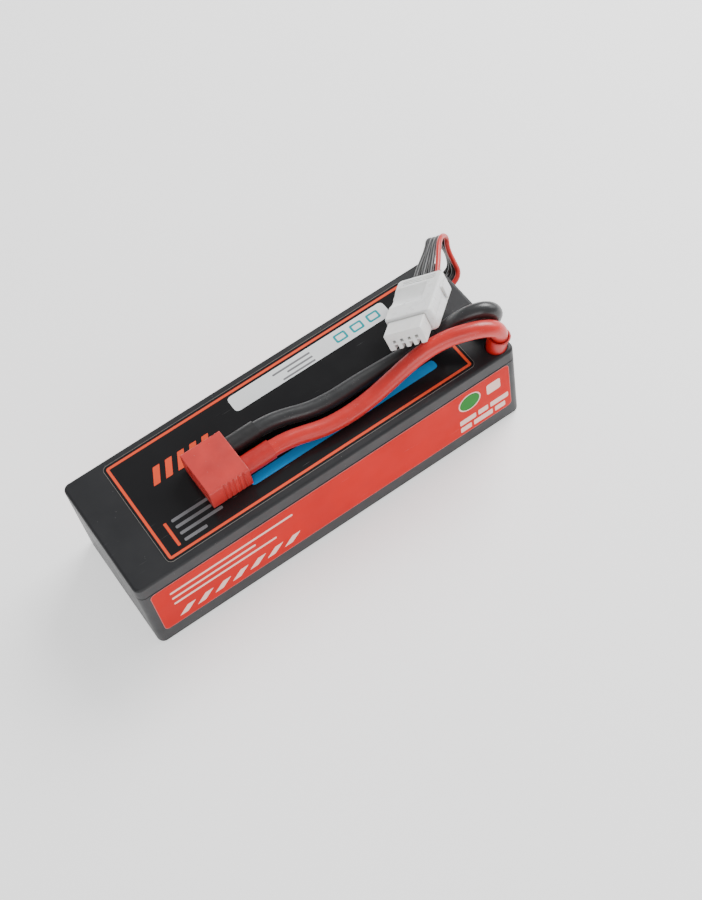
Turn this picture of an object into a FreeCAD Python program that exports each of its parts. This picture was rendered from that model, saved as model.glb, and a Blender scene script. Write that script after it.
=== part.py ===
import FreeCAD, Part
import math
import os

import Sketcher
from FreeCAD import Placement, Rotation, Vector

# Three-cell lithium polymer pack in a hard case. The origin is the centre of the underside,
# +X runs along the pack to the end where the leads come out, -Y is the side with the near
# label and +Z is up. Lengths are millimetres and angles are degrees.

SIZES = [
    ("case_length", 138.0),
    ("case_width", 46.0),
    ("case_height", 35.0),
    ("case_wall", 1.5),
    ("corner_radius", 2.4),
    ("edge_radius", 1.0),
    ("seam_radius", 0.25),
    ("lid_depth", 5.4),
    ("lip_height", 1.3),
    ("lip_thickness", 0.7),
    ("fit_gap", 0.1),
    ("label_thickness", 0.12),
    ("label_radius", 1.8),
    ("top_label_end_margin", 13.1),
    ("top_label_side_margin", 2.4),
    ("side_label_end_margin", 3.2),
    ("side_label_seam_margin", 0.5),
    ("side_label_height", 22.5),
    # Cells, from the closed end to the board
    ("pad_thickness", 1.1),
    ("cell_tape", 0.3),
    ("cell_side_gap", 0.6),
    ("cell_end_gap", 0.8),
    ("board_space", 11.2),
    ("cell_edge_radius", 2.2),
    ("terrace_length", 3.6),
    ("terrace_thickness", 0.5),
    ("terrace_inset", 1.2),
    ("tab_width", 8.0),
    ("tab_thickness", 0.3),
    ("tab_spread", 16.0),
    ("tab_reach", 0.5),
    # End board
    ("board_gap", 5.2),
    ("board_thickness", 1.2),
    ("board_side_gap", 0.3),
    ("board_foot_gap", 1.4),
    ("board_top_gap", 0.3),
    ("solder_reach", 0.7),
    ("wire_start_gap", 3.4),
    # Power leads
    ("lead_diameter", 5.4),
    ("sleeve_wall", 0.6),
    ("sleeve_reach", 5.0),
    ("lead_end_inset", 4.3),
    ("lead_side_inset", 4.3),
    ("lead_spacing", 7.7),
    ("core_diameter", 2.8),
    ("core_length", 10.5),
    ("lead_inside", 1.6),
    ("lead_rise", 1.5),
    ("lead_hole_gap", 0.25),
    ("lead_last_run", 6.0),
    ("lead_tip_gap", 0.4),
    ("sleeve_slack", 0.03),
    # Balance lead
    ("wire_diameter", 1.7),
    ("wire_core_diameter", 0.7),
    ("wire_spacing", 2.1),
    ("wire_side_inset", 6.2),
    ("wire_drop", 8.2),
    ("grommet_margin", 0.5),
    ("grommet_flange", 0.9),
    # Balance plug
    ("plug_pitch", 2.5),
    ("plug_width", 12.4),
    ("plug_length", 9.8),
    ("plug_thickness", 5.75),
    ("plug_cavity", 1.9),
    ("plug_pin_hole", 1.0),
    ("plug_front_wall", 1.6),
    ("plug_notch_height", 1.7),
    ("plug_notch_length", 4.2),
    ("contact_length", 7.2),
    ("contact_width", 1.5),
    # Snap-on guard round the balance plug
    ("guard_width", 15.6),
    ("guard_length", 22.0),
    ("guard_thickness", 7.6),
    ("guard_wall", 1.0),
    ("guard_radius", 1.6),
    ("guard_grip", 2.8),
    ("guard_slot_width", 10.4),
    ("guard_slot_height", 3.4),
    ("arm_length", 5.0),
    ("arm_width", 0.8),
    ("arm_place", 5.6),
    ("thumb_length", 10.0),
    ("thumb_depth", 1.2),
    ("rib_spacing", 0.9),
    ("rib_depth", 0.3),
    # Where the guard lies, from the top edge of the lead end, and how it is turned
    ("guard_end_offset", -17.4),
    ("guard_side_offset", 2.6),
    ("guard_rise", 10.4),
    ("guard_yaw", -37.5),
    ("guard_pitch", -22.2),
    ("guard_roll", -20.8),
    # Main connector, lying on the lid
    ("connector_end_offset", -97.4),
    ("connector_side_offset", -4.7),
    ("connector_length", 14.0),
    ("connector_width", 17.4),
    ("connector_height", 8.8),
    ("connector_radius", 0.9),
    ("groove_depth", 0.4),
    ("groove_width", 0.8),
    ("groove_spacing", 1.7),
    ("contact_spacing", 8.6),
    ("blade_width", 6.4),
    ("blade_thickness", 0.8),
    ("slot_width", 7.0),
    ("slot_opening", 2.6),
    ("blade_length", 11.0),
    ("tail_length", 6.4),
    ("tail_width", 3.0),
    ("tube_wall", 0.45),
    ("tube_length", 9.6),
]

# Power lead routes, from the hole in the lid to the main connector. Each point is
# (distance past the lead end, sideways place, height over the lid).
POSITIVE_BENDS = [
    (-2.6, -19.2, 5.6),
    (-4.2, -19.2, 9.8),
    (-8.0, -18.0, 11.8),
    (-12.6, -16.3, 12.2),
    (-17.8, -14.4, 12.0),
    (-24.2, -12.9, 10.7),
    (-31.0, -12.0, 8.2),
    (-38.6, -12.0, 5.5),
    (-47.0, -12.5, 3.6),
    (-55.8, -12.8, 3.2),
    (-64.0, -12.0, 3.3),
    (-71.2, -10.0, 4.1),
]
NEGATIVE_BENDS = [
    (-0.9, -12.8, 5.2),
    (-0.4, -13.8, 9.2),
    (-2.9, -13.0, 12.0),
    (-7.2, -11.4, 12.2),
    (-11.6, -9.6, 10.0),
    (-16.0, -8.3, 7.4),
    (-22.2, -7.0, 5.0),
    (-29.4, -6.0, 3.6),
    (-37.6, -5.2, 3.1),
    (-46.4, -4.8, 3.1),
    (-55.4, -4.9, 3.1),
    (-63.6, -4.0, 3.3),
    (-70.9, -1.6, 4.0),
]

# Middle line of the four-wire balance lead, outside the case: the same kind of point, then
# the sideways direction of the ribbon there, then the spacing of its wires.
BALANCE_BENDS = [
    ((4.7, 17.7, -8.2), (-0.1, -0.95, 0.3), 2.1),
    ((7.0, 21.0, -7.2), (-0.2, -0.65, 0.75), 2.1),
    ((7.9, 25.2, -4.2), (-0.25, -0.45, 0.85), 2.15),
    ((6.6, 27.6, 0.2), (-0.15, -0.45, 0.85), 2.15),
    ((2.6, 24.0, 3.2), (0.3, -0.5, 0.8), 2.25),
]
# The rest of it, in the guard's own frame: sideways, back from the middle, up
BALANCE_IN_GUARD = [
    (-0.5, 18.2, 0.8),
    (-0.4, 11.4, -0.3),
    (-0.4, 4.8, 0.12),
    (-0.4, -2.4, 0.0),
]

WIRE_NAMES = [
    "balance_wire_ground",
    "balance_wire_cell_1",
    "balance_wire_cell_2",
    "balance_wire_positive",
]

doc = FreeCAD.newDocument("LipoPack")
sheet = doc.addObject("Spreadsheet::Sheet", "Sizes")
for row, (alias, value) in enumerate(SIZES, start=1):
    sheet.set(f"A{row}", alias)
    sheet.set(f"B{row}", str(value))
    sheet.setAlias(f"B{row}", alias)
doc.recompute()

parts = []


def size(alias):
    """A driving size, read from the sheet."""
    return float(sheet.get(alias))


def bound(text):
    """An expression in which each sheet alias is written as $alias."""
    return text.replace("$", "Sizes.")


def keep(obj, name):
    """Name a finished sub-part and put it on the list to be written."""
    obj.Label = name
    parts.append(obj)
    return obj


def bind(obj, **expressions):
    for prop, text in expressions.items():
        obj.setExpression(prop.replace("__", "."), bound(text))


# ---------------------------------------------------------------- plain solids


def block(name, x, y, z, label=None):
    """A box between pairs of bound expressions along each axis."""
    box = doc.addObject("Part::Box", name)
    bind(
        box,
        Length=f"({x[1]}) - ({x[0]})",
        Width=f"({y[1]}) - ({y[0]})",
        Height=f"({z[1]}) - ({z[0]})",
        Placement__Base__x=x[0],
        Placement__Base__y=y[0],
        Placement__Base__z=z[0],
    )
    doc.recompute()
    if label:
        keep(box, label)
    return box


def rod(name, radius, length, at, rotation=None, label=None):
    """A cylinder from a bound point, along +Z unless it is turned."""
    cylinder = doc.addObject("Part::Cylinder", name)
    if rotation:
        cylinder.Placement = Placement(Vector(), rotation)
    bind(
        cylinder,
        Radius=radius,
        Height=length,
        Placement__Base__x=at[0],
        Placement__Base__y=at[1],
        Placement__Base__z=at[2],
    )
    doc.recompute()
    if label:
        keep(cylinder, label)
    return cylinder


def cut(name, base, tool, label=None):
    result = doc.addObject("Part::Cut", name)
    result.Base = base
    result.Tool = tool
    doc.recompute()
    if label:
        keep(result, label)
    return result


def fused(name, pieces, label=None):
    result = doc.addObject("Part::MultiFuse", name)
    result.Shapes = pieces
    doc.recompute()
    if label:
        keep(result, label)
    return result


def grouped(name, pieces, label=None):
    """Separate like solids that share one node."""
    result = doc.addObject("Part::Compound", name)
    result.Links = pieces
    doc.recompute()
    if label:
        keep(result, label)
    return result


# ------------------------------------------------------- sketched sub-parts


def new_body(name):
    body = doc.addObject("PartDesign::Body", name)
    body.Label = name
    return body


def new_sketch(body, name, plane, offset):
    """A sketch on one of the body's own planes, moved along its normal by an expression."""
    sketch = body.newObject("Sketcher::SketchObject", name)
    origin = next(f for f in body.Origin.OriginFeatures if f.Role == plane)
    sketch.AttachmentSupport = [(origin, "")]
    sketch.MapMode = "FlatFace"
    sketch.setExpression("AttachmentOffset.Base.z", bound(offset))
    return sketch


def place(sketch, kind, geometry, position, text):
    """Fix one coordinate of a point to a bound expression, measured from the origin."""
    constraint = Sketcher.Constraint(kind, -1, 1, geometry, position, 1.0)
    index = sketch.addConstraint(constraint)
    sketch.setExpression(f"Constraints[{index}]", bound(text))


def rectangle(sketch, left, right, bottom, top):
    corners = [Vector(0, 0), Vector(1, 0), Vector(1, 1), Vector(0, 1)]
    first = sketch.GeometryCount
    for i in range(4):
        sketch.addGeometry(Part.LineSegment(corners[i], corners[(i + 1) % 4]))
    for i in range(4):
        join = Sketcher.Constraint("Coincident", first + i, 2, first + (i + 1) % 4, 1)
        sketch.addConstraint(join)
    for i, kind in enumerate(("Horizontal", "Vertical", "Horizontal", "Vertical")):
        sketch.addConstraint(Sketcher.Constraint(kind, first + i))
    place(sketch, "DistanceX", first, 1, left)
    place(sketch, "DistanceY", first, 1, bottom)
    place(sketch, "DistanceX", first + 1, 2, right)
    place(sketch, "DistanceY", first + 1, 2, top)


def rounded_rectangle(sketch, left, right, bottom, top, radius):
    """Four sides joined by four equal quarter rounds."""
    first = sketch.GeometryCount
    sides = [((1, 0), (9, 0)), ((10, 1), (10, 9)), ((9, 10), (1, 10)), ((0, 9), (0, 1))]
    for start, end in sides:
        sketch.addGeometry(Part.LineSegment(Vector(*start), Vector(*end)))
    centres = [(9, 1), (9, 9), (1, 9), (1, 1)]
    for i, centre in enumerate(centres):
        circle = Part.Circle(Vector(*centre), Vector(0, 0, 1), 1)
        begin = math.radians(270 + 90 * i)
        sketch.addGeometry(Part.ArcOfCircle(circle, begin, begin + math.pi / 2))
    for i in range(4):
        arc = first + 4 + i
        sketch.addConstraint(Sketcher.Constraint("Tangent", first + i, 2, arc, 1))
        sketch.addConstraint(Sketcher.Constraint("Tangent", arc, 2, first + (i + 1) % 4, 1))
    for i in range(3):
        sketch.addConstraint(Sketcher.Constraint("Equal", first + 4, first + 5 + i))
    for i, kind in enumerate(("Horizontal", "Vertical", "Horizontal", "Vertical")):
        sketch.addConstraint(Sketcher.Constraint(kind, first + i))
    index = sketch.addConstraint(Sketcher.Constraint("Radius", first + 4, 1.0))
    sketch.setExpression(f"Constraints[{index}]", bound(radius))
    place(sketch, "DistanceY", first, 1, bottom)
    place(sketch, "DistanceX", first + 1, 1, right)
    place(sketch, "DistanceY", first + 2, 1, top)
    place(sketch, "DistanceX", first + 3, 1, left)


def circle_at(sketch, across, up, radius):
    index = sketch.addGeometry(Part.Circle(Vector(1, 1), Vector(0, 0, 1), 1))
    place(sketch, "DistanceX", index, 3, across)
    place(sketch, "DistanceY", index, 3, up)
    constraint = sketch.addConstraint(Sketcher.Constraint("Radius", index, 1.0))
    sketch.setExpression(f"Constraints[{constraint}]", bound(radius))


def pad(body, sketch, length, reverse=False):
    feature = body.newObject("PartDesign::Pad", f"{sketch.Name}_pad")
    feature.Profile = sketch
    feature.Reversed = reverse
    feature.setExpression("Length", bound(length))
    doc.recompute()
    return feature


def pocket(body, sketch, depth, reverse=False):
    """Cut a sketch into the body, and make sure that it really removed something."""
    before = body.Shape.Volume
    feature = body.newObject("PartDesign::Pocket", f"{sketch.Name}_pocket")
    feature.Profile = sketch
    feature.Reversed = reverse
    feature.setExpression("Length", bound(depth))
    doc.recompute()
    if body.Shape.Volume > before - 1e-3:
        raise RuntimeError(f"{sketch.Name} cuts nothing")
    return feature


def edge_names(shape, test):
    return [f"Edge{i}" for i, edge in enumerate(shape.Edges, start=1) if test(edge)]


def round_edges(body, test, radius):
    """Fillet the edges of the body's tip that pass a test."""
    names = edge_names(body.Tip.Shape, test)
    feature = body.newObject("PartDesign::Fillet", f"{body.Name}_round")
    feature.Base = (body.Group[-2], names)
    feature.setExpression("Radius", bound(radius))
    doc.recompute()
    return feature


def lies_at(edge, axis, level):
    """Whether a whole edge lies in the plane where one coordinate has a given value."""
    box = edge.BoundBox
    low, high = {
        "x": (box.XMin, box.XMax),
        "y": (box.YMin, box.YMax),
        "z": (box.ZMin, box.ZMax),
    }[axis]
    return abs(low - level) < 1e-4 and abs(high - level) < 1e-4


# ----------------------------------------------------------------- the case

HALF_LENGTH = "$case_length / 2"
HALF_WIDTH = "$case_width / 2"
SEAM = "$case_height - $lid_depth"
INNER_END = "$case_length / 2 - $case_wall"
INNER_SIDE = "$case_width / 2 - $case_wall"
LID_UNDERSIDE = "$case_height - $case_wall"
LEAD_ROOM = "$case_wall + $lead_diameter / 2 + $fit_gap"
LEAD_STEP = "max($lead_spacing; $lead_diameter + 2 * $sleeve_wall + 0.8)"
LEAD_X = f"$case_length / 2 - max($lead_end_inset; {LEAD_ROOM})"
POSITIVE_Y = f"-$case_width / 2 + max($lead_side_inset; {LEAD_ROOM})"
NEGATIVE_Y = f"{POSITIVE_Y} + {LEAD_STEP}"
WIRE_Y = "$case_width / 2 - $wire_side_inset"
WIRE_Z = "$case_height - $wire_drop"
SLEEVE_RADIUS = "$lead_diameter / 2 + $sleeve_wall"
WINDOW_HALF = "$wire_spacing * 1.5 + $wire_diameter / 2 + $grommet_margin"
WINDOW_RISE = "$wire_diameter / 2 + $grommet_margin"


def outline(sketch, inset, radius):
    """A rounded rectangle that follows the case, a given distance inside it."""
    rounded_rectangle(
        sketch,
        f"-({HALF_LENGTH} - ({inset}))",
        f"{HALF_LENGTH} - ({inset})",
        f"-({HALF_WIDTH} - ({inset}))",
        f"{HALF_WIDTH} - ({inset})",
        radius,
    )


INNER_RADIUS = "max($corner_radius - $case_wall; 0.4)"
LIP_RADIUS = "max($corner_radius - $case_wall + $lip_thickness; 0.6)"


def make_tub():
    """Open-topped lower shell, with a rabbet for the lid and a window for the balance lead."""
    body = new_body("case_tub")
    outer = new_sketch(body, "tub_outer", "XY_Plane", "0")
    outline(outer, "0", "$corner_radius")
    pad(body, outer, SEAM)
    round_edges(body, lambda edge: lies_at(edge, "z", 0), "$edge_radius")
    seam = size("case_height") - size("lid_depth")
    round_edges(body, lambda edge: lies_at(edge, "z", seam), "$seam_radius")
    hollow = new_sketch(body, "tub_hollow", "XY_Plane", SEAM)
    outline(hollow, "$case_wall", INNER_RADIUS)
    pocket(body, hollow, f"{SEAM} - $case_wall")
    rabbet = new_sketch(body, "tub_rabbet", "XY_Plane", SEAM)
    outline(rabbet, "$case_wall - $lip_thickness - $fit_gap", LIP_RADIUS)
    pocket(body, rabbet, "$lip_height + $fit_gap")
    window = new_sketch(body, "tub_window", "YZ_Plane", HALF_LENGTH)
    rectangle(
        window,
        f"{WIRE_Y} - ({WINDOW_HALF})",
        f"{WIRE_Y} + {WINDOW_HALF}",
        f"{WIRE_Z} - ({WINDOW_RISE})",
        f"{WIRE_Z} + {WINDOW_RISE}",
    )
    pocket(body, window, "$case_wall + $fit_gap")
    keep(body, "case_tub")


def make_lid():
    """Shallow upper shell, with a lip that drops into the tub and two holes for the leads."""
    body = new_body("case_lid")
    outer = new_sketch(body, "lid_outer", "XY_Plane", SEAM)
    outline(outer, "0", "$corner_radius")
    pad(body, outer, "$lid_depth")
    top = size("case_height")
    round_edges(body, lambda edge: lies_at(edge, "z", top), "$edge_radius")
    seam = top - size("lid_depth")
    round_edges(body, lambda edge: lies_at(edge, "z", seam), "$seam_radius")
    lip = new_sketch(body, "lid_lip", "XY_Plane", SEAM)
    outline(lip, "$case_wall - $lip_thickness", LIP_RADIUS)
    pad(body, lip, "$lip_height", reverse=True)
    hollow = new_sketch(body, "lid_hollow", "XY_Plane", f"{SEAM} - $lip_height")
    outline(hollow, "$case_wall", INNER_RADIUS)
    pocket(body, hollow, "$lid_depth + $lip_height - $case_wall", reverse=True)
    holes = new_sketch(body, "lid_lead_holes", "XY_Plane", "$case_height")
    for y in (POSITIVE_Y, NEGATIVE_Y):
        circle_at(holes, LEAD_X, y, f"{SLEEVE_RADIUS} + $lead_hole_gap")
    pocket(body, holes, "$case_wall")
    keep(body, "case_lid")


def make_labels():
    """Thin film labels on the lid and on both long sides."""
    body = new_body("top_label")
    sketch = new_sketch(body, "top_label_outline", "XY_Plane", "$case_height")
    rounded_rectangle(
        sketch,
        f"-({HALF_LENGTH} - $top_label_end_margin)",
        f"{HALF_LENGTH} - $top_label_end_margin",
        f"-({HALF_WIDTH} - $top_label_side_margin)",
        f"{HALF_WIDTH} - $top_label_side_margin",
        "$label_radius",
    )
    pad(body, sketch, "$label_thickness")
    keep(body, "top_label")
    for name, offset, outwards in (
        ("side_label_near", HALF_WIDTH, False),
        ("side_label_far", f"-({HALF_WIDTH})", True),
    ):
        body = new_body(name)
        sketch = new_sketch(body, f"{name}_outline", "XZ_Plane", offset)
        label_top = f"{SEAM} - $side_label_seam_margin"
        rounded_rectangle(
            sketch,
            f"-({HALF_LENGTH} - $side_label_end_margin)",
            f"{HALF_LENGTH} - $side_label_end_margin",
            f"{label_top} - $side_label_height",
            label_top,
            "$label_radius",
        )
        pad(body, sketch, "$label_thickness", reverse=outwards)
        keep(body, name)


# ------------------------------------------------------------- inside the case

CELL_START = "-$case_length / 2 + $case_wall + $cell_end_gap"
CELL_END = "$case_length / 2 - $case_wall - $board_space"
CELL_HALF = "$case_width / 2 - $case_wall - $cell_side_gap"
CELL_THICKNESS = (
    "($case_height - 2 * $case_wall - 2 * $pad_thickness - 2 * $cell_tape - $fit_gap) / 3"
)
STACK_BASE = "$case_wall + $pad_thickness"
BOARD_OUTER = "$case_length / 2 - $case_wall - $board_gap"
BOARD_INNER = f"{BOARD_OUTER} - $board_thickness"
BOARD_HALF = "$case_width / 2 - $case_wall - $board_side_gap"
BOARD_FOOT = "$case_wall + $board_foot_gap"
BOARD_TOP = f"{SEAM} - $lip_height - $board_top_gap"


def cell_base(index):
    return f"{STACK_BASE} + {index} * ({CELL_THICKNESS} + $cell_tape)"


def cell_middle(index):
    return f"{cell_base(index)} + ({CELL_THICKNESS}) / 2"


def make_cell(index):
    """A pouch cell: a soft-cornered block with a thin sealed edge where its tabs come out."""
    name = f"cell_{index + 1}"
    body = new_body(name)
    sketch = new_sketch(body, f"{name}_outline", "XY_Plane", cell_base(index))
    rounded_rectangle(
        sketch, CELL_START, CELL_END, f"-({CELL_HALF})", CELL_HALF, "$cell_edge_radius"
    )
    pad(body, sketch, CELL_THICKNESS)
    seal = new_sketch(
        body, f"{name}_seal", "XY_Plane", f"{cell_middle(index)} - $terrace_thickness / 2"
    )
    half = f"{CELL_HALF} - $terrace_inset"
    rectangle(
        seal,
        f"{CELL_END} - $cell_edge_radius",
        f"{CELL_END} + $terrace_length",
        f"-({half})",
        half,
    )
    pad(body, seal, "$terrace_thickness")
    keep(body, name)


def tab_sides(index):
    """Sideways places of a cell's two tabs: each cell is turned over on the one below."""
    flip = 1 if index % 2 else -1
    return (("positive", flip), ("negative", -flip))


def make_tabs(index):
    """The two foil tabs of a cell, which reach through the end board."""
    for pole, side in tab_sides(index):
        middle = f"{side} * $tab_spread / 2"
        block(
            f"tab_{index + 1}_{pole}",
            (f"{CELL_END} + $terrace_length", f"{BOARD_OUTER} + $tab_reach"),
            (f"{middle} - $tab_width / 2", f"{middle} + $tab_width / 2"),
            (
                f"{cell_middle(index)} - $tab_thickness / 2",
                f"{cell_middle(index)} + $tab_thickness / 2",
            ),
            label=f"cell_{index + 1}_{pole}_tab",
        )


def make_packing():
    """Foam over and under the stack, and the double-sided tape between the cells."""
    x = (CELL_START, f"{CELL_END} - $cell_edge_radius")
    y = (f"-({CELL_HALF} - $cell_edge_radius)", f"{CELL_HALF} - $cell_edge_radius")
    block("foam_low", x, y, ("$case_wall", STACK_BASE), label="foam_pad_bottom")
    top = f"{LID_UNDERSIDE} - $fit_gap"
    block("foam_high", x, y, (f"{top} - $pad_thickness", top), label="foam_pad_top")
    for index in range(2):
        low = f"{cell_base(index)} + {CELL_THICKNESS}"
        high = f"{low} + $cell_tape"
        block(f"tape_{index + 1}", x, y, (low, high), label=f"cell_tape_{index + 1}")


def make_board():
    """Upright board at the lead end that the tabs and the balance wires are soldered to."""
    plate = block(
        "board_plate",
        (BOARD_INNER, BOARD_OUTER),
        (f"-({BOARD_HALF})", BOARD_HALF),
        (BOARD_FOOT, BOARD_TOP),
    )
    openings = []
    for index in range(3):
        for side in (-1, 1):
            middle = f"{side} * $tab_spread / 2"
            half = "$tab_width / 2 + $fit_gap"
            rise = "$tab_thickness / 2 + $fit_gap"
            openings.append(
                block(
                    f"board_slot_{index}_{side + 1}",
                    (f"{BOARD_INNER} - 1", f"{BOARD_OUTER} + 1"),
                    (f"{middle} - ({half})", f"{middle} + {half}"),
                    (f"{cell_middle(index)} - ({rise})", f"{cell_middle(index)} + {rise}"),
                )
            )
    for index in range(4):
        openings.append(
            rod(
                f"board_hole_{index}",
                "$wire_core_diameter / 2 + $fit_gap / 2",
                "$board_thickness + 2",
                (f"{BOARD_INNER} - 1", wire_place(index), WIRE_Z),
                rotation=Rotation(Vector(0, 1, 0), 90),
            )
        )
    cut("board", plate, fused("board_openings", openings), label="end_board")


def wire_place(index):
    """Sideways place of a balance wire where it goes through the case end."""
    return f"{WIRE_Y} + {index - 1.5} * $wire_spacing"


def make_joints():
    """Stripped ends of the wires and leads, and the solder that holds them to the board."""
    tips = []
    cones = []
    turned = Rotation(Vector(0, 1, 0), 90)
    for index in range(4):
        at_board = (BOARD_OUTER, wire_place(index), WIRE_Z)
        tips.append(
            rod(
                f"wire_tip_{index}",
                "$wire_core_diameter / 2",
                "$wire_start_gap + $board_thickness - 0.02",
                (BOARD_INNER, wire_place(index), WIRE_Z),
                rotation=turned,
            )
        )
        cone = doc.addObject("Part::Cone", f"solder_cone_{index}")
        cone.Placement = Placement(Vector(), turned)
        bind(
            cone,
            Radius1="$wire_core_diameter / 2 + 0.45",
            Radius2="$wire_core_diameter / 2 + 0.1",
            Height="$solder_reach",
            Placement__Base__x=at_board[0],
            Placement__Base__y=at_board[1],
            Placement__Base__z=at_board[2],
        )
        doc.recompute()
        cones.append(cone)
    grouped("wire_tip_group", tips, label="balance_wire_tips")
    fillets = [
        cut(f"solder_ring_{index}", cones[index], tips[index]) for index in range(4)
    ]
    grouped("solder_ring_group", fillets, label="balance_solder_joints")
    tab_underside = f"{cell_middle(2)} - $tab_thickness / 2 - 0.4"
    for pole, y in (("positive", POSITIVE_Y), ("negative", NEGATIVE_Y)):
        start = f"{LID_UNDERSIDE} - $lead_inside"
        core = rod(
            f"{pole}_core",
            "$core_diameter / 2",
            "$core_length",
            (LEAD_X, y, f"{start} - $core_length"),
            label=f"{pole}_lead_core",
        )
        blob = block(
            f"{pole}_solder_block",
            (BOARD_OUTER, f"{LEAD_X} + $core_diameter / 4"),
            (f"{y} - $core_diameter / 2 - 0.4", f"{y} + $core_diameter / 2 + 0.4"),
            (f"{start} - $core_length", f"min({start} - $core_length * 0.5; {tab_underside})"),
        )
        cut(f"{pole}_solder_cut", blob, core, label=f"{pole}_lead_solder")


def make_grommet(wires):
    """Rubber plug moulded round the four balance wires where they go through the case end."""
    stem = block(
        "grommet_stem",
        (INNER_END, HALF_LENGTH),
        (f"{WIRE_Y} - ({WINDOW_HALF})", f"{WIRE_Y} + {WINDOW_HALF}"),
        (f"{WIRE_Z} - ({WINDOW_RISE})", f"{WIRE_Z} + {WINDOW_RISE}"),
    )
    flange = block(
        "grommet_flange",
        (HALF_LENGTH, f"{HALF_LENGTH} + $grommet_flange"),
        (f"{WIRE_Y} - ({WINDOW_HALF}) - 0.4", f"{WIRE_Y} + {WINDOW_HALF} + 0.4"),
        (f"{WIRE_Z} - ({WINDOW_RISE}) - 0.5", f"{WIRE_Z} + {WINDOW_RISE} + 0.5"),
    )
    whole = fused("grommet_whole", [stem, flange])
    cut("grommet", whole, fused("grommet_bores", wires), label="balance_grommet")


# ------------------------------------------------------------------ flexible leads


def at_end(point):
    """A point given from the top edge of the lead end, in the pack's own frame."""
    return Vector(point[0] + size("case_length") / 2, point[1], point[2] + size("case_height"))


class Run:
    """A straight stretch of a route."""

    def __init__(self, start, end):
        self.start = start
        self.end = end
        self.length = (end - start).Length

    def point(self, distance):
        return self.start + (self.end - self.start) * (distance / self.length)

    def edge(self, begin, finish):
        return Part.LineSegment(self.point(begin), self.point(finish)).toShape()


class Bend:
    """A round stretch of a route, tangent to the straight stretches beside it."""

    def __init__(self, centre, axis, start, radius, angle):
        self.centre = centre
        self.axis = axis
        self.start = start
        self.radius = radius
        self.length = radius * angle

    def point(self, distance):
        turn = Rotation(self.axis, math.degrees(distance / self.radius))
        return self.centre + turn.multVec(self.start - self.centre)

    def edge(self, begin, finish):
        middle = self.point((begin + finish) / 2)
        return Part.Arc(self.point(begin), middle, self.point(finish)).toShape()


def route(name, points):
    """Straight runs between the points, joined by arcs as large as the runs allow."""
    bend_share = 0.45
    pieces = []
    radii = []
    last = points[0]
    for before, corner, after in zip(points, points[1:], points[2:]):
        inward = (corner - before).normalize()
        outward = (after - corner).normalize()
        angle = inward.getAngle(outward)
        reach = bend_share * min((corner - before).Length, (after - corner).Length)
        radius = reach / math.tan(angle / 2)
        start = corner - inward * reach
        axis = inward.cross(outward).normalize()
        centre = start + axis.cross(inward) * radius
        pieces.append(Run(last, start))
        pieces.append(Bend(centre, axis, start, radius, angle))
        last = corner + outward * reach
        radii.append(round(radius, 1))
    pieces.append(Run(last, points[-1]))
    total = sum(piece.length for piece in pieces)
    print(f"{name}: length {total:.1f} mm, bend radii {radii}")
    return pieces


def path_between(pieces, begin, finish):
    """The edges of a route from one distance along it to another."""
    edges = []
    passed = 0.0
    for piece in pieces:
        low = max(begin - passed, 0.0)
        high = min(finish - passed, piece.length)
        if high - low > 1e-6:
            edges.append(piece.edge(low, high))
        passed += piece.length
    return edges


def tube(name, edges, radius, label=None):
    """A round solid swept along a chain of edges."""
    path = doc.addObject("Part::Feature", f"{name}_path")
    path.Shape = Part.Wire(edges)
    section = doc.addObject("Part::Circle", f"{name}_section")
    first = edges[0]
    start = first.valueAt(first.FirstParameter)
    direction = first.tangentAt(first.FirstParameter)
    section.Placement = Placement(start, Rotation(Vector(0, 0, 1), direction))
    section.setExpression("Radius", bound(radius))
    sweep = doc.addObject("Part::Sweep", name)
    sweep.Sections = [section]
    sweep.Spine = (path, [f"Edge{i}" for i in range(1, len(edges) + 1)])
    sweep.Solid = True
    sweep.Frenet = False
    doc.recompute()
    length = sum(edge.Length for edge in edges)
    section_area = math.pi * section.Radius.Value ** 2
    error = sweep.Shape.Volume / (section_area * length) - 1
    if abs(error) > 0.01:
        raise RuntimeError(f"{name} has the wrong volume, by {error:.1%}")
    if label:
        keep(sweep, label)
    return sweep


def whole_length(pieces):
    return sum(piece.length for piece in pieces)


def lead_end(side):
    """Where a lead meets the main connector's solder tail."""
    y = size("connector_side_offset") + side * size("contact_spacing") / 2
    x = size("connector_end_offset") + size("connector_length") / 2 + size("tail_length")
    return (x + size("lead_tip_gap"), y, size("label_thickness") + connector_middle())


def connector_middle():
    """Height of the connector's middle over the label that it lies on."""
    return size("connector_height") / 2 + size("fit_gap")


def make_lead(pole, sideways, side, bends):
    """One power lead with the shrink sleeve at its exit and the one at the connector."""
    exit_x = size("case_length") / 2 - lead_inset("lead_end_inset")
    underside = size("case_height") - size("case_wall")
    start = Vector(exit_x, sideways, underside - size("lead_inside"))
    over_lid = Vector(exit_x, sideways, size("case_height") + size("lead_rise"))
    end = lead_end(side)
    before_end = (end[0] + size("lead_last_run"), end[1], end[2])
    points = [start, over_lid]
    points += [at_end(point) for point in bends]
    points += [at_end(before_end), at_end(end)]
    name = f"{pole}_lead"
    pieces = route(name, points)
    tube(name, path_between(pieces, 0, whole_length(pieces)), "$lead_diameter / 2", name)

    low = size("lead_inside") + size("fit_gap")
    high = low + size("case_wall") + size("sleeve_reach")
    edges = path_between(pieces, low, high)
    outer = tube(f"{pole}_sleeve_outer", edges, SLEEVE_RADIUS)
    inner = tube(f"{pole}_sleeve_inner", edges, "$lead_diameter / 2 + $sleeve_slack")
    cut(f"{pole}_sleeve", outer, inner, label=f"{pole}_exit_sleeve")


def lead_inset(alias):
    """How far in a lead stands, with room for it inside the wall."""
    return max(size(alias), size("case_wall") + size("lead_diameter") / 2 + size("fit_gap"))


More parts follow.
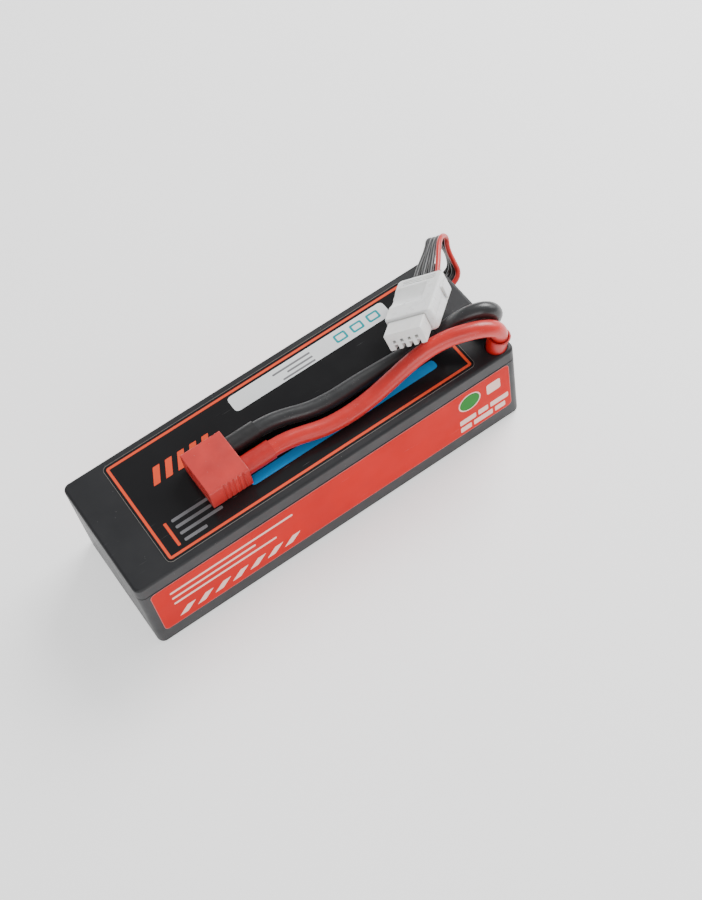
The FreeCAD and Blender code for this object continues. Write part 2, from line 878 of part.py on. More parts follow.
def make_leads():
    near = -size("case_width") / 2 + lead_inset("lead_side_inset")
    step = max(size("lead_spacing"), size("lead_diameter") + 2 * size("sleeve_wall") + 0.8)
    make_lead("positive", near, -1, POSITIVE_BENDS)
    make_lead("negative", near + step, 1, NEGATIVE_BENDS)


# ---------------------------------------------------------- balance plug and guard


def guard_placement():
    turn = Rotation(size("guard_yaw"), size("guard_pitch"), size("guard_roll"))
    offset = (size("guard_end_offset"), size("guard_side_offset"), size("guard_rise"))
    return Placement(at_end(offset), turn)


def put_in_guard_frame(obj):
    """Place a sub-part that was made in the guard's own frame."""
    obj.Placement = guard_placement()
    bind(
        obj,
        Placement__Base__x="$case_length / 2 + $guard_end_offset",
        Placement__Base__y="$guard_side_offset",
        Placement__Base__z="$case_height + $guard_rise",
    )
    doc.recompute()


def ribbon(middle_points, index):
    """Route of one wire of a flat ribbon, set to one side of its middle line."""
    places = [Vector(*point) for point, sideways, spacing in middle_points]
    wire = []
    for i, (point, sideways, spacing) in enumerate(middle_points):
        along = places[min(i + 1, len(places) - 1)] - places[max(i - 1, 0)]
        along.normalize()
        across = Vector(*sideways)
        across = (across - along * across.dot(along)).normalize()
        wire.append(places[i] + across * (spacing * (index - 1.5)))
    return wire


def make_balance_lead():
    """Four thin wires from the end board to the balance plug."""
    inside = size("case_length") / 2 - size("case_wall") - size("board_gap")
    y = size("case_width") / 2 - size("wire_side_inset")
    z = size("case_height") - size("wire_drop")
    spacing = size("wire_spacing")
    middle = [
        ((inside + size("wire_start_gap"), y, z), (0, -1, 0), spacing),
        ((size("case_length") / 2 + size("grommet_flange") + 0.2, y, z), (0, -1, 0), spacing),
    ]
    for point, sideways, gap in BALANCE_BENDS:
        middle.append((tuple(at_end(point)), sideways, gap))
    frame = guard_placement()
    across = frame.Rotation.multVec(Vector(1, 0, 0))
    last = (-0.4, wire_stop(), 0.0)
    for point in BALANCE_IN_GUARD + [last]:
        middle.append((tuple(frame.multVec(Vector(*point))), tuple(across), size("plug_pitch")))
    wires = []
    for index, name in enumerate(WIRE_NAMES):
        pieces = route(name, ribbon(middle, index))
        edges = path_between(pieces, 0, whole_length(pieces))
        wires.append(tube(name, edges, "$wire_diameter / 2", name))
    return wires


PLUG_REAR = "$guard_length / 2 - $guard_grip"
PLUG_MIDDLE = "(-0.4)"
CONTACT_REAR = f"{PLUG_REAR} + 1.0"


def wire_stop():
    """Where the wires end, inside the plug's cavities, in the guard's frame."""
    return -(size("guard_length") / 2 - size("guard_grip") + 1.0)


def pin_place(index):
    return f"{PLUG_MIDDLE} + {index - 1.5} * $plug_pitch"


def make_plug():
    """Four-way balance plug housing, with a cavity and a pin hole for each contact."""
    body = new_body("balance_plug")
    outer = new_sketch(body, "plug_outer", "XZ_Plane", PLUG_REAR)
    half = "$plug_width / 2"
    rounded_rectangle(
        outer,
        f"{PLUG_MIDDLE} - {half}",
        f"{PLUG_MIDDLE} + {half}",
        "-$plug_thickness / 2",
        "$plug_thickness / 2",
        "0.35",
    )
    pad(body, outer, "$plug_length")
    cavities = new_sketch(body, "plug_cavities", "XZ_Plane", PLUG_REAR)
    pins = new_sketch(body, "plug_pins", "XZ_Plane", PLUG_REAR)
    notches = new_sketch(body, "plug_notches", "XZ_Plane", f"{PLUG_REAR} + $plug_length")
    for index in range(4):
        x = pin_place(index)
        for sketch, width in ((cavities, "$plug_cavity"), (pins, "$plug_pin_hole")):
            rectangle(
                sketch, f"{x} - {width} / 2", f"{x} + {width} / 2", f"-{width} / 2", f"{width} / 2"
            )
        rectangle(
            notches,
            f"{x} - $plug_pin_hole * 0.6",
            f"{x} + $plug_pin_hole * 0.6",
            "-$plug_thickness / 2 - 0.1",
            "-$plug_thickness / 2 + $plug_notch_height",
        )
    pocket(body, cavities, "$plug_length - $plug_front_wall", reverse=True)
    pocket(body, pins, "$plug_length + 0.1", reverse=True)
    pocket(body, notches, "$plug_notch_length")
    put_in_guard_frame(body)
    keep(body, "balance_plug")


def make_contacts():
    """Crimped contacts in the balance plug, open at the front for the charger's pins."""
    body = new_body("balance_contact")
    outer = new_sketch(body, "contact_outer", "XZ_Plane", CONTACT_REAR)
    x = pin_place(0)
    half = "$contact_width / 2"
    rectangle(outer, f"{x} - {half}", f"{x} + {half}", f"-{half}", half)
    pad(body, outer, "$contact_length")
    socket = new_sketch(body, "contact_socket", "XZ_Plane", f"{CONTACT_REAR} + $contact_length")
    bore = "$plug_pin_hole / 2"
    rectangle(socket, f"{x} - {bore}", f"{x} + {bore}", f"-{bore}", bore)
    pocket(body, socket, "$contact_length - 1.5")
    pieces = [body]
    for index in range(1, 4):
        copy = doc.addObject("Part::Feature", f"contact_copy_{index}")
        copy.Shape = body.Shape.copy()
        copy.setExpression("Placement.Base.x", bound(f"{index} * $plug_pitch"))
        pieces.append(copy)
    doc.recompute()
    group = grouped("contact_group", pieces)
    put_in_guard_frame(group)
    keep(group, "balance_contacts")


def make_guard():
    """Two-part clip-fit guard: both halves share an outline and meet at the plug's middle."""
    half_width = "$guard_width / 2"
    half_length = "$guard_length / 2"
    half_thickness = "$guard_thickness / 2"
    chamber_half = f"{half_width} - $guard_wall - 0.8"
    plug_half = "$plug_width / 2 + $fit_gap"
    for name, upper in (("guard_base", False), ("guard_cover", True)):
        sign = 1 if upper else -1
        body = new_body(name)
        outer = new_sketch(body, f"{name}_outer", "XY_Plane", "0")
        rounded_rectangle(
            outer,
            f"-{half_width}",
            half_width,
            f"-{half_length}",
            half_length,
            "$guard_radius",
        )
        pad(body, outer, half_thickness, reverse=not upper)
        face = sign * size("guard_thickness") / 2
        round_edges(body, lambda edge: lies_at(edge, "z", face), "0.7")
        grip = new_sketch(body, f"{name}_grip", "XY_Plane", "0")
        rectangle(
            grip,
            f"{PLUG_MIDDLE} - ({plug_half})",
            f"{PLUG_MIDDLE} + {plug_half}",
            f"-{half_length} - 0.1",
            f"-{half_length} + $guard_grip + $fit_gap",
        )
        pocket(body, grip, "$plug_thickness / 2 + $fit_gap", reverse=upper)
        chamber = new_sketch(body, f"{name}_chamber", "XY_Plane", "0")
        rectangle(
            chamber,
            f"-({chamber_half})",
            chamber_half,
            f"-{half_length} + $guard_grip",
            f"{half_length} - $guard_wall",
        )
        pocket(body, chamber, "$guard_slot_height / 2 + 0.2", reverse=upper)
        slot = new_sketch(body, f"{name}_slot", "XY_Plane", "0")
        rectangle(
            slot,
            f"{PLUG_MIDDLE} - $guard_slot_width / 2",
            f"{PLUG_MIDDLE} + $guard_slot_width / 2",
            f"{half_length} - $guard_wall - 0.1",
            f"{half_length} + 0.1",
        )
        pocket(body, slot, "$guard_slot_height / 2", reverse=upper)
        if upper:
            thumb = new_sketch(body, "guard_thumb", "YZ_Plane", "$guard_width * 0.22")
            bow = "(pow($thumb_length / 2; 2) + pow($thumb_depth; 2)) / (2 * $thumb_depth)"
            circle_at(thumb, "1", f"{half_thickness} + {bow} - $thumb_depth", bow)
            pocket(body, thumb, "$guard_width")
            ribs = new_sketch(body, "guard_ribs", "XY_Plane", half_thickness)
            for step in range(3):
                rear = f"{half_length} - 1.6 - {step} * $rib_spacing"
                span = f"{half_width} - 2.2"
                rectangle(ribs, f"-({span})", span, f"{rear} - 0.4", rear)
            pocket(body, ribs, "$rib_depth")
            arms = new_sketch(body, "guard_arms", "XY_Plane", "$guard_thickness * 0.28")
            for side in (-1, 1):
                inner = f"{half_width} + $fit_gap"
                outer_face = f"{half_width} + $arm_width"
                ends = ("$arm_place - $arm_length / 2", "$arm_place + $arm_length / 2")
                if side > 0:
                    rectangle(arms, f"{half_width} - 0.4", outer_face, *ends)
                else:
                    rectangle(arms, f"-({outer_face})", f"-({half_width}) + 0.4", *ends)
            pad(body, arms, "$guard_thickness * 0.28", reverse=True)
            drops = new_sketch(body, "guard_arm_drops", "XY_Plane", "0.5")
            for side in (-1, 1):
                if side > 0:
                    rectangle(drops, inner, outer_face, *ends)
                else:
                    rectangle(drops, f"-({outer_face})", f"-({inner})", *ends)
            pad(body, drops, "$guard_thickness * 0.34", reverse=True)
        put_in_guard_frame(body)
        keep(body, name)


# --------------------------------------------------------------- main connector

CONNECTOR_X = "$case_length / 2 + $connector_end_offset"
CONNECTOR_REAR = f"{CONNECTOR_X} + $connector_length / 2"
CONNECTOR_FRONT = f"{CONNECTOR_X} - $connector_length / 2"
CONNECTOR_Y = "$connector_side_offset"
CONNECTOR_Z = "$case_height + $label_thickness + $fit_gap + $connector_height / 2"


def make_connector():
    """Two-blade connector: one slot lies flat and the other stands, so it only fits one way."""
    body = new_body("main_connector")
    outer = new_sketch(body, "connector_outer", "YZ_Plane", CONNECTOR_FRONT)
    rounded_rectangle(
        outer,
        f"{CONNECTOR_Y} - $connector_width / 2",
        f"{CONNECTOR_Y} + $connector_width / 2",
        f"{CONNECTOR_Z} - $connector_height / 2",
        f"{CONNECTOR_Z} + $connector_height / 2",
        "$connector_radius",
    )
    pad(body, outer, "$connector_length")
    slots = new_sketch(body, "connector_slots", "YZ_Plane", CONNECTOR_FRONT)
    tails = new_sketch(body, "connector_tails", "YZ_Plane", CONNECTOR_FRONT)
    for y0, y1, z0, z1 in (slot_box(-1), slot_box(1)):
        rectangle(slots, y0, y1, z0, z1)
    for y0, y1, z0, z1 in (tail_box(-1), tail_box(1)):
        rectangle(tails, y0, y1, z0, z1)
    pocket(body, slots, "$blade_length", reverse=True)
    pocket(body, tails, "$connector_length + 0.1", reverse=True)
    top = f"{CONNECTOR_Z} + $connector_height / 2"
    grooves = new_sketch(body, "connector_grooves", "XY_Plane", top)
    for step in range(5):
        x = f"{CONNECTOR_REAR} - 1.8 - {step} * $groove_spacing"
        across = "$connector_width / 2"
        low = f"{CONNECTOR_Y} - {across}"
        high = f"{CONNECTOR_Y} + {across}"
        rectangle(grooves, f"{x} - $groove_width", x, f"{low} - 0.1", f"{low} + $groove_depth")
        rectangle(grooves, f"{x} - $groove_width", x, f"{high} - $groove_depth", f"{high} + 0.1")
    pocket(body, grooves, "$connector_height")
    keep(body, "main_connector")


def pole_place(side):
    return f"{CONNECTOR_Y} + {side} * $contact_spacing / 2"


def slot_box(side):
    """Mouth of a slot: the positive one (side -1) lies flat, the negative one stands."""
    y = pole_place(side)
    if side < 0:
        low = f"{CONNECTOR_Z} - $slot_opening / 2"
        high = f"{CONNECTOR_Z} + $slot_opening / 2"
        return f"{y} - $slot_width / 2", f"{y} + $slot_width / 2", low, high
    low = f"{CONNECTOR_Z} - $slot_width / 2"
    high = f"{CONNECTOR_Z} + $slot_width / 2"
    return f"{y} - $slot_opening / 2", f"{y} + $slot_opening / 2", low, high


def tail_box(side):
    """Section of a contact's solder tail, along the inner face of its slot."""
    y = pole_place(side)
    if side < 0:
        low = f"{CONNECTOR_Z} - $slot_opening / 2"
        return f"{y} - $tail_width / 2", f"{y} + $tail_width / 2", low, f"{low} + $blade_thickness"
    inner = f"{y} - $slot_opening / 2"
    low = f"{CONNECTOR_Z} - $tail_width / 2"
    return inner, f"{inner} + $blade_thickness", low, f"{CONNECTOR_Z} + $tail_width / 2"


def blade_box(side):
    """Section of a contact's blade, lying on one face of its slot."""
    y = pole_place(side)
    half = "$blade_width / 2"
    if side < 0:
        low = f"{CONNECTOR_Z} - $slot_opening / 2"
        return f"{y} - {half}", f"{y} + {half}", low, f"{low} + $blade_thickness"
    inner = f"{y} - $slot_opening / 2"
    return inner, f"{inner} + $blade_thickness", f"{CONNECTOR_Z} - {half}", f"{CONNECTOR_Z} + {half}"


def make_connector_contacts():
    """Gold-plated blades, the ends of the lead cores, and the shrink tubes over the joints."""
    turned = Rotation(Vector(0, 1, 0), 90)
    for pole, side in (("positive", -1), ("negative", 1)):
        blade = blade_box(side)
        tail = tail_box(side)
        contact = fused(
            f"{pole}_contact_whole",
            [
                block(
                    f"{pole}_blade",
                    (f"{CONNECTOR_FRONT} + 1.2", f"{CONNECTOR_FRONT} + $blade_length"),
                    blade[:2],
                    blade[2:],
                ),
                block(
                    f"{pole}_tail",
                    (f"{CONNECTOR_FRONT} + 1.2", f"{CONNECTOR_REAR} + $tail_length"),
                    tail[:2],
                    tail[2:],
                ),
            ],
        )
        keep(contact, f"{pole}_contact")
        rod(
            f"{pole}_joint_core",
            "$core_diameter / 2 - 0.4",
            "$tail_length + $lead_tip_gap - 0.6",
            (f"{CONNECTOR_REAR} + 0.6", joint_y(side), joint_z(side)),
            rotation=turned,
            label=f"{pole}_joint_core",
        )
        tube_start = f"{CONNECTOR_REAR} + 0.3"
        outer = rod(
            f"{pole}_shrink_outer",
            "$lead_diameter / 2 + $tube_wall",
            "$tube_length",
            (tube_start, pole_place(side), CONNECTOR_Z),
            rotation=turned,
        )
        inner = rod(
            f"{pole}_shrink_inner",
            "$lead_diameter / 2 + $sleeve_slack",
            "$tube_length",
            (tube_start, pole_place(side), CONNECTOR_Z),
            rotation=turned,
        )
        cut(f"{pole}_shrink", outer, inner, label=f"{pole}_shrink_tube")


def joint_y(side):
    if side < 0:
        return pole_place(side)
    return f"{pole_place(side)} - $slot_opening / 2 + $blade_thickness + $core_diameter / 2 - 0.4"


def joint_z(side):
    if side > 0:
        return CONNECTOR_Z
    return f"{CONNECTOR_Z} - $slot_opening / 2 + $blade_thickness + $core_diameter / 2 - 0.4"


# --------------------------------------------------------------------- build


def write_parts():
    doc.recompute()
    for obj in doc.Objects:
        if "Invalid" in obj.State or "Error" in obj.State:
            raise RuntimeError(f"{obj.Name} failed: {obj.State}")
    os.makedirs("parts", exist_ok=True)
    for obj in parts:
        shape = obj.Shape
        if shape.isNull() or not shape.isValid():
            raise RuntimeError(f"{obj.Label} has no valid shape")
        shape.exportStep(f"parts/{obj.Label}.step")
    print(f"{len(parts)} sub-parts written")


make_tub()
make_lid()
make_labels()
for number in range(3):
    make_cell(number)
    make_tabs(number)
make_packing()
make_board()
make_joints()
make_leads()
make_grommet(make_balance_lead())
make_plug()
make_contacts()
make_guard()
make_connector()
make_connector_contacts()
write_parts()
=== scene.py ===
import math

import bmesh
import bpy
from bpy.props import FloatProperty, IntProperty, PointerProperty
from mathutils import Matrix, Vector


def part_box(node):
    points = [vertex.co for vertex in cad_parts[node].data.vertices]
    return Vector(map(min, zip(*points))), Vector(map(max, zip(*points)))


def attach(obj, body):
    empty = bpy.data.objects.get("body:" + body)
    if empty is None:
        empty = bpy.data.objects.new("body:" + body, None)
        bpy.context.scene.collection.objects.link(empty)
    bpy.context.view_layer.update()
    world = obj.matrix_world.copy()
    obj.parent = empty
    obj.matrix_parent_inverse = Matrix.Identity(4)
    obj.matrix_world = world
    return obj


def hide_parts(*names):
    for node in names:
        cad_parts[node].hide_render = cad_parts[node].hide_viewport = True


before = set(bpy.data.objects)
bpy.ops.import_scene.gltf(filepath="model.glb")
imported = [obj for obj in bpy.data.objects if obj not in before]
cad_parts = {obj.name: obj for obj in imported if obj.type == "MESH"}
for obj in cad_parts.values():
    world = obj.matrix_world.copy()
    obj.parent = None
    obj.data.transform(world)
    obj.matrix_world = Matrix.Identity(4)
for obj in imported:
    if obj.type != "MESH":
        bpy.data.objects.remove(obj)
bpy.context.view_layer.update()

bl_info = {
    "name": "Lithium battery pack",
    "version": (1, 0, 0),
    "blender": (4, 5, 0),
    "location": "3D Viewport > Sidebar > Battery pack",
    "description": "Leads, sleeves, printed labels and finishes of a hard-case battery pack",
    "category": "Object",
}

MM = 0.001

# The leads' routes in millimetres: distance past the lead end, sideways place, height over
# the lid. The same points carry the CAD tubes.
LEAD_ROUTES = {
    "positive": [
        (-4.3, -18.7, -3.1),
        (-4.3, -18.7, 1.5),
        (-2.6, -19.2, 5.6),
        (-4.2, -19.2, 9.8),
        (-8.0, -18.0, 11.8),
        (-12.6, -16.3, 12.2),
        (-17.8, -14.4, 12.0),
        (-24.2, -12.9, 10.7),
        (-31.0, -12.0, 8.2),
        (-38.6, -12.0, 5.5),
        (-47.0, -12.5, 3.6),
        (-55.8, -12.8, 3.2),
        (-64.0, -12.0, 3.3),
        (-71.2, -10.0, 4.1),
        (-77.6, -9.0, 4.62),
        (-83.6, -9.0, 4.62),
    ],
    "negative": [
        (-4.3, -11.0, -3.1),
        (-4.3, -11.0, 1.5),
        (-0.9, -12.8, 5.2),
        (-0.4, -13.8, 9.2),
        (-2.9, -13.0, 12.0),
        (-7.2, -11.4, 12.2),
        (-11.6, -9.6, 10.0),
        (-16.0, -8.3, 7.4),
        (-22.2, -7.0, 5.0),
        (-29.4, -6.0, 3.6),
        (-37.6, -5.2, 3.1),
        (-46.4, -4.8, 3.1),
        (-55.4, -4.9, 3.1),
        (-63.6, -4.0, 3.3),
        (-70.9, -1.6, 4.0),
        (-77.6, -0.4, 4.62),
        (-83.6, -0.4, 4.62),
    ],
}

# Middle line of the four-wire ribbon, the sideways direction of the ribbon and the spacing
# of its wires, in the same frame.
RIBBON = [
    ((-3.3, 16.8, -8.2), (0.0, -1.0, 0.0), 2.1),
    ((1.1, 16.8, -8.2), (0.0, -1.0, 0.0), 2.1),
    ((4.7, 17.7, -8.2), (-0.1, -0.95, 0.3), 2.1),
    ((7.0, 21.0, -7.2), (-0.2, -0.65, 0.75), 2.1),
    ((7.9, 25.2, -4.2), (-0.25, -0.45, 0.85), 2.15),
    ((6.6, 27.6, 0.2), (-0.15, -0.45, 0.85), 2.15),
    ((2.6, 24.0, 3.2), (0.3, -0.5, 0.8), 2.25),
]
# The rest of the ribbon in the plug guard's own frame: sideways, back from its middle, up
RIBBON_IN_GUARD = [
    (-0.5, 18.2, 0.8),
    (-0.4, 11.4, -0.3),
    (-0.4, 4.8, 0.12),
    (-0.4, -2.4, 0.0),
    (-0.4, -9.2, 0.0),
]
# Place of the guard's middle in the same frame as the routes, and its turn in degrees
GUARD_OFFSET = (-17.4, 2.6, 10.4)
GUARD_TURN = (-37.5, -22.2, -20.8)
PLUG_PITCH = 2.5

# Sleeve of a power lead, in metres: where it starts on the lead, its slack, and how far its
# lip opens. The last value only shifts the waviness of its wall.
SLEEVE_START = 0.0017
SLEEVE_SLACK = 0.00004
SLEEVE_FLARE = 0.00046
SLEEVE_WAVE = 1.3
LABEL_CORNER = 0.0018

WIRES = [
    "balance_wire_ground",
    "balance_wire_cell_1",
    "balance_wire_cell_2",
    "balance_wire_positive",
]


# ------------------------------------------------------------------ settings


class CableSettings(bpy.types.PropertyGroup):
    lead_diameter: FloatProperty(
        name="Lead diameter",
        description="Outside diameter of a power lead",
        default=0.0054,
        unit="LENGTH",
    )
    sleeve_wall: FloatProperty(
        name="Sleeve wall",
        description="Thickness of the sleeve round a power lead at the lid",
        default=0.0006,
        unit="LENGTH",
    )
    sleeve_height: FloatProperty(
        name="Sleeve height",
        description="How far along the lead its sleeve reaches, from just under the lid",
        default=0.0082,
        unit="LENGTH",
    )
    wire_diameter: FloatProperty(
        name="Wire diameter",
        description="Outside diameter of a balance wire",
        default=0.0017,
        unit="LENGTH",
    )


class LabelSettings(bpy.types.PropertyGroup):
    border_inset: FloatProperty(
        name="Border inset",
        description="Distance of the border line from the edge of the top label",
        default=0.00095,
        unit="LENGTH",
    )
    border_width: FloatProperty(
        name="Border width",
        description="Width of the border line",
        default=0.0009,
        unit="LENGTH",
    )
    ink_lift: FloatProperty(
        name="Ink lift",
        description="Height of one layer of ink over the film",
        default=0.000006,
        unit="LENGTH",
    )


class StageSettings(bpy.types.PropertyGroup):
    key_power: FloatProperty(
        name="Key power",
        description="Power of the large soft light behind the pack",
        default=9.0,
        min=0,
    )
    fill_power: FloatProperty(
        name="Fill power",
        description="Power of the soft light on the near side",
        default=2.2,
        min=0,
    )
    sky: FloatProperty(
        name="Surround",
        description="Brightness of the white surroundings",
        default=0.5,
        min=0,
    )
    floor_corners: IntProperty(
        name="Floor corners",
        description="Corners of the round floor",
        default=96,
        min=12,
    )


# ------------------------------------------------------------------ materials


class Finish:
    """A procedural material, put together step by step from nodes."""

    def __init__(self, name):
        self.material = bpy.data.materials.new(name)
        self.material.use_nodes = True
        self.tree = self.material.node_tree
        self.tree.nodes.clear()
        self.output = self.tree.nodes.new("ShaderNodeOutputMaterial")
        self.body = self.tree.nodes.new("ShaderNodeBsdfPrincipled")
        self.tree.links.new(self.body.outputs[0], self.output.inputs["Surface"])
        self.place = self.node("ShaderNodeTexCoord").outputs["Object"]
        self.normal = None

    def node(self, kind, **inputs):
        made = self.tree.nodes.new(kind)
        for name, value in inputs.items():
            self.set(made.inputs[name.replace("_", " ")], value)
        return made

    def set(self, socket, value):
        if isinstance(value, bpy.types.NodeSocket):
            self.tree.links.new(value, socket)
        elif socket.type == "RGBA" and len(value) == 3:
            socket.default_value = (*value, 1.0)
        else:
            socket.default_value = value

    def calc(self, operation, a, b=0.0):
        made = self.tree.nodes.new("ShaderNodeMath")
        made.operation = operation
        self.set(made.inputs[0], a)
        self.set(made.inputs[1], b)
        return made.outputs[0]

    def stretched(self, factors, place=None):
        made = self.node("ShaderNodeMapping", Vector=place or self.place, Scale=factors)
        return made.outputs[0]

    def noise(self, grain, detail=3.0, stretch=None):
        """Soft noise whose blobs are about grain millimetres across."""
        place = self.stretched(stretch) if stretch else self.place
        scale = 1.0 / (grain * MM)
        return self.node("ShaderNodeTexNoise", Vector=place, Scale=scale, Detail=detail).outputs[0]

    def cracks(self, grain, stretch=None):
        """Distance to the nearest border of cells about grain millimetres across."""
        made = self.tree.nodes.new("ShaderNodeTexVoronoi")
        made.feature = "DISTANCE_TO_EDGE"
        self.set(made.inputs["Vector"], self.stretched(stretch) if stretch else self.place)
        self.set(made.inputs["Scale"], 1.0 / (grain * MM))
        return made.outputs[0]

    def streaks(self, width, stretch):
        """Fine broken scratches about width millimetres wide, long where stretch is small."""
        return self.remap(self.noise(width, 2.0, stretch), 0.7, 0.76)

    def specks(self, grain):
        """Distance to the middle of cells about grain millimetres across."""
        made = self.node("ShaderNodeTexVoronoi", Vector=self.place, Scale=1.0 / (grain * MM))
        return made.outputs["Distance"]

    def remap(self, value, low, high, start=0.0, end=1.0):
        made = self.tree.nodes.new("ShaderNodeMapRange")
        for index, item in enumerate((value, low, high, start, end)):
            self.set(made.inputs[index], item)
        return made.outputs[0]

    def blend(self, factor, first, second):
        made = self.tree.nodes.new("ShaderNodeMix")
        made.data_type = "RGBA"
        self.set(made.inputs[0], factor)
        self.set(made.inputs[6], first)
        self.set(made.inputs[7], second)
        return made.outputs[2]

    def axes(self):
        made = self.node("ShaderNodeSeparateXYZ", Vector=self.place)
        return made.outputs

    def soften(self, radius):
        """Round the shading over sharp edges; gives how near a point is to such an edge."""
        made = self.tree.nodes.new("ShaderNodeBevel")
        made.samples = 6
        self.set(made.inputs["Radius"], radius * MM)
        self.normal = made.outputs[0]
        face = self.node("ShaderNodeNewGeometry").outputs["Normal"]
        dot = self.tree.nodes.new("ShaderNodeVectorMath")
        dot.operation = "DOT_PRODUCT"
        self.set(dot.inputs[0], made.outputs[0])
        self.set(dot.inputs[1], face)
        return self.remap(dot.outputs["Value"], 0.995, 0.86)

    def bump(self, height, depth, strength=1.0):
        """Raise the surface by height times depth millimetres."""
        made = self.node(
            "ShaderNodeBump", Height=height, Distance=depth * MM, Strength=strength
        )
        if self.normal:
            self.set(made.inputs["Normal"], self.normal)
        self.normal = made.outputs[0]

    def done(self, **inputs):
        for name, value in inputs.items():
            self.set(self.body.inputs[name.replace("_", " ")], value)
        if self.normal:
            self.set(self.body.inputs["Normal"], self.normal)
        return self.material


def scaled(colour, factor):
    return tuple(min(1.0, channel * factor) for channel in colour)


def moulded(name, colour, roughness, grain=0.25, depth=0.01, edge=0.0, wear=None, **extra):
    """Moulded plastic or rubber: mottled colour, fine grain, flow marks, scuffs and dust."""
    finish = Finish(name)
    near_edge = finish.soften(edge) if edge else 0.0
    cloud = finish.remap(finish.noise(9.0, 4.0), 0.3, 0.7)
    tone = finish.blend(cloud, scaled(colour, 0.86), scaled(colour, 1.14))
    scuffs = finish.streaks(0.5, (1.0, 0.06, 0.4))
    patchy = finish.calc("MULTIPLY", scuffs, finish.remap(finish.noise(14.0), 0.5, 0.62))
    tone = finish.blend(finish.calc("MULTIPLY", patchy, 0.3), tone, scaled(colour, 1.9))
    if wear and edge:
        rubbed = finish.calc("MULTIPLY", near_edge, finish.remap(finish.noise(1.6), 0.35, 0.7))
        tone = finish.blend(finish.calc("MULTIPLY", rubbed, 0.6), tone, wear)
    dust = finish.remap(finish.specks(1.9), 0.07, 0.03)
    tone = finish.blend(finish.calc("MULTIPLY", dust, 0.28), tone, (0.55, 0.54, 0.52))
    finish.bump(finish.noise(grain, 2.0), depth)
    finish.bump(finish.noise(16.0, 1.0), 0.09)
    finish.bump(patchy, -0.006)
    rough = finish.remap(finish.noise(4.0, 5.0), 0.25, 0.75, roughness - 0.06, roughness + 0.09)
    return finish.done(Base_Color=tone, Roughness=rough, **extra)


def milky(name, colour, roughness):
    """Slightly see-through white plastic, with a painted highlight along its rims and faint sink
    marks.
    """
    finish = Finish(name)
    painted_rim_highlight = finish.soften(0.28)
    cloud = finish.remap(finish.noise(5.0, 3.0), 0.3, 0.7)
    tone = finish.blend(cloud, scaled(colour, 0.93), colour)
    # Painted highlight: the colour is lightened along every rim, standing in for light catching
    # the edges.
    tone = finish.blend(finish.calc("MULTIPLY", painted_rim_highlight, 0.7), tone, (0.97, 0.97, 0.95))
    grime = finish.remap(finish.noise(1.4, 5.0), 0.58, 0.8, 0.0, 0.14)
    tone = finish.blend(grime, tone, (0.45, 0.44, 0.4))
    finish.bump(finish.noise(0.3, 2.0), 0.006)
    finish.bump(finish.noise(6.0, 1.0), 0.08)
    rough = finish.remap(finish.noise(2.5, 4.0), 0.3, 0.7, roughness - 0.07, roughness + 0.08)
    return finish.done(
        Base_Color=tone,
        Roughness=rough,
        IOR=1.5,
        Subsurface_Weight=0.3,
        Subsurface_Radius=(0.9, 0.85, 0.75),
        Subsurface_Scale=0.0016,
        Coat_Weight=0.12,
        Coat_Roughness=0.2,
    )


def metal(name, colour, roughness, stretch=(1.0, 1.0, 1.0)):
    """Bare or plated metal with drawing lines and light tarnish."""
    finish = Finish(name)
    finish.soften(0.12)
    lines = finish.noise(0.35, 3.0, stretch)
    tarnish = finish.remap(finish.noise(2.2, 4.0), 0.42, 0.72)
    tone = finish.blend(finish.calc("MULTIPLY", tarnish, 0.5), colour, scaled(colour, 0.55))
    finish.bump(lines, 0.008)
    rough = finish.remap(lines, 0.3, 0.7, roughness - 0.05, roughness + 0.12)
    return finish.done(Base_Color=tone, Roughness=rough, Metallic=1.0)


def silicone(name, colour):
    """Soft lead insulation: a dull bloom, long faint drawing lines and clinging dust."""
    finish = Finish(name)
    cloud = finish.remap(finish.noise(7.0, 4.0), 0.3, 0.7)
    tone = finish.blend(cloud, scaled(colour, 0.88), scaled(colour, 1.1))
    dust = finish.remap(finish.specks(0.9), 0.13, 0.06, 0.0, 0.35)
    patch = finish.remap(finish.noise(6.0, 2.0), 0.42, 0.62)
    tone = finish.blend(finish.calc("MULTIPLY", dust, patch), tone, (0.6, 0.57, 0.55))
    lint = finish.calc("MULTIPLY", finish.streaks(0.3, (0.12, 1.0, 1.0)), 0.3)
    tone = finish.blend(finish.calc("MULTIPLY", lint, patch), tone, (0.55, 0.52, 0.5))
    finish.bump(finish.noise(0.45, 3.0), 0.012)
    finish.bump(finish.noise(3.0, 2.0), 0.05)
    rough = finish.remap(finish.noise(2.0, 4.0), 0.3, 0.7, 0.28, 0.42)
    return finish.done(
        Base_Color=tone,
        Roughness=rough,
        Sheen_Weight=0.12,
        Sheen_Roughness=0.4,
        Coat_Weight=0.2,
        Coat_Roughness=0.22,
    )


def shrunk(name, colour):
    """Heat-shrunk tube: tight, a little shiny, with fine creases round it."""
    finish = Finish(name)
    tone = finish.blend(finish.noise(2.5, 3.0), scaled(colour, 0.8), scaled(colour, 1.15))
    finish.bump(finish.noise(0.7, 2.0, (1.0, 1.0, 2.6)), 0.05)
    finish.bump(finish.noise(0.2, 2.0), 0.006)
    rough = finish.remap(finish.noise(1.5, 4.0), 0.3, 0.7, 0.3, 0.46)
    return finish.done(Base_Color=tone, Roughness=rough, Coat_Weight=0.2, Coat_Roughness=0.25)


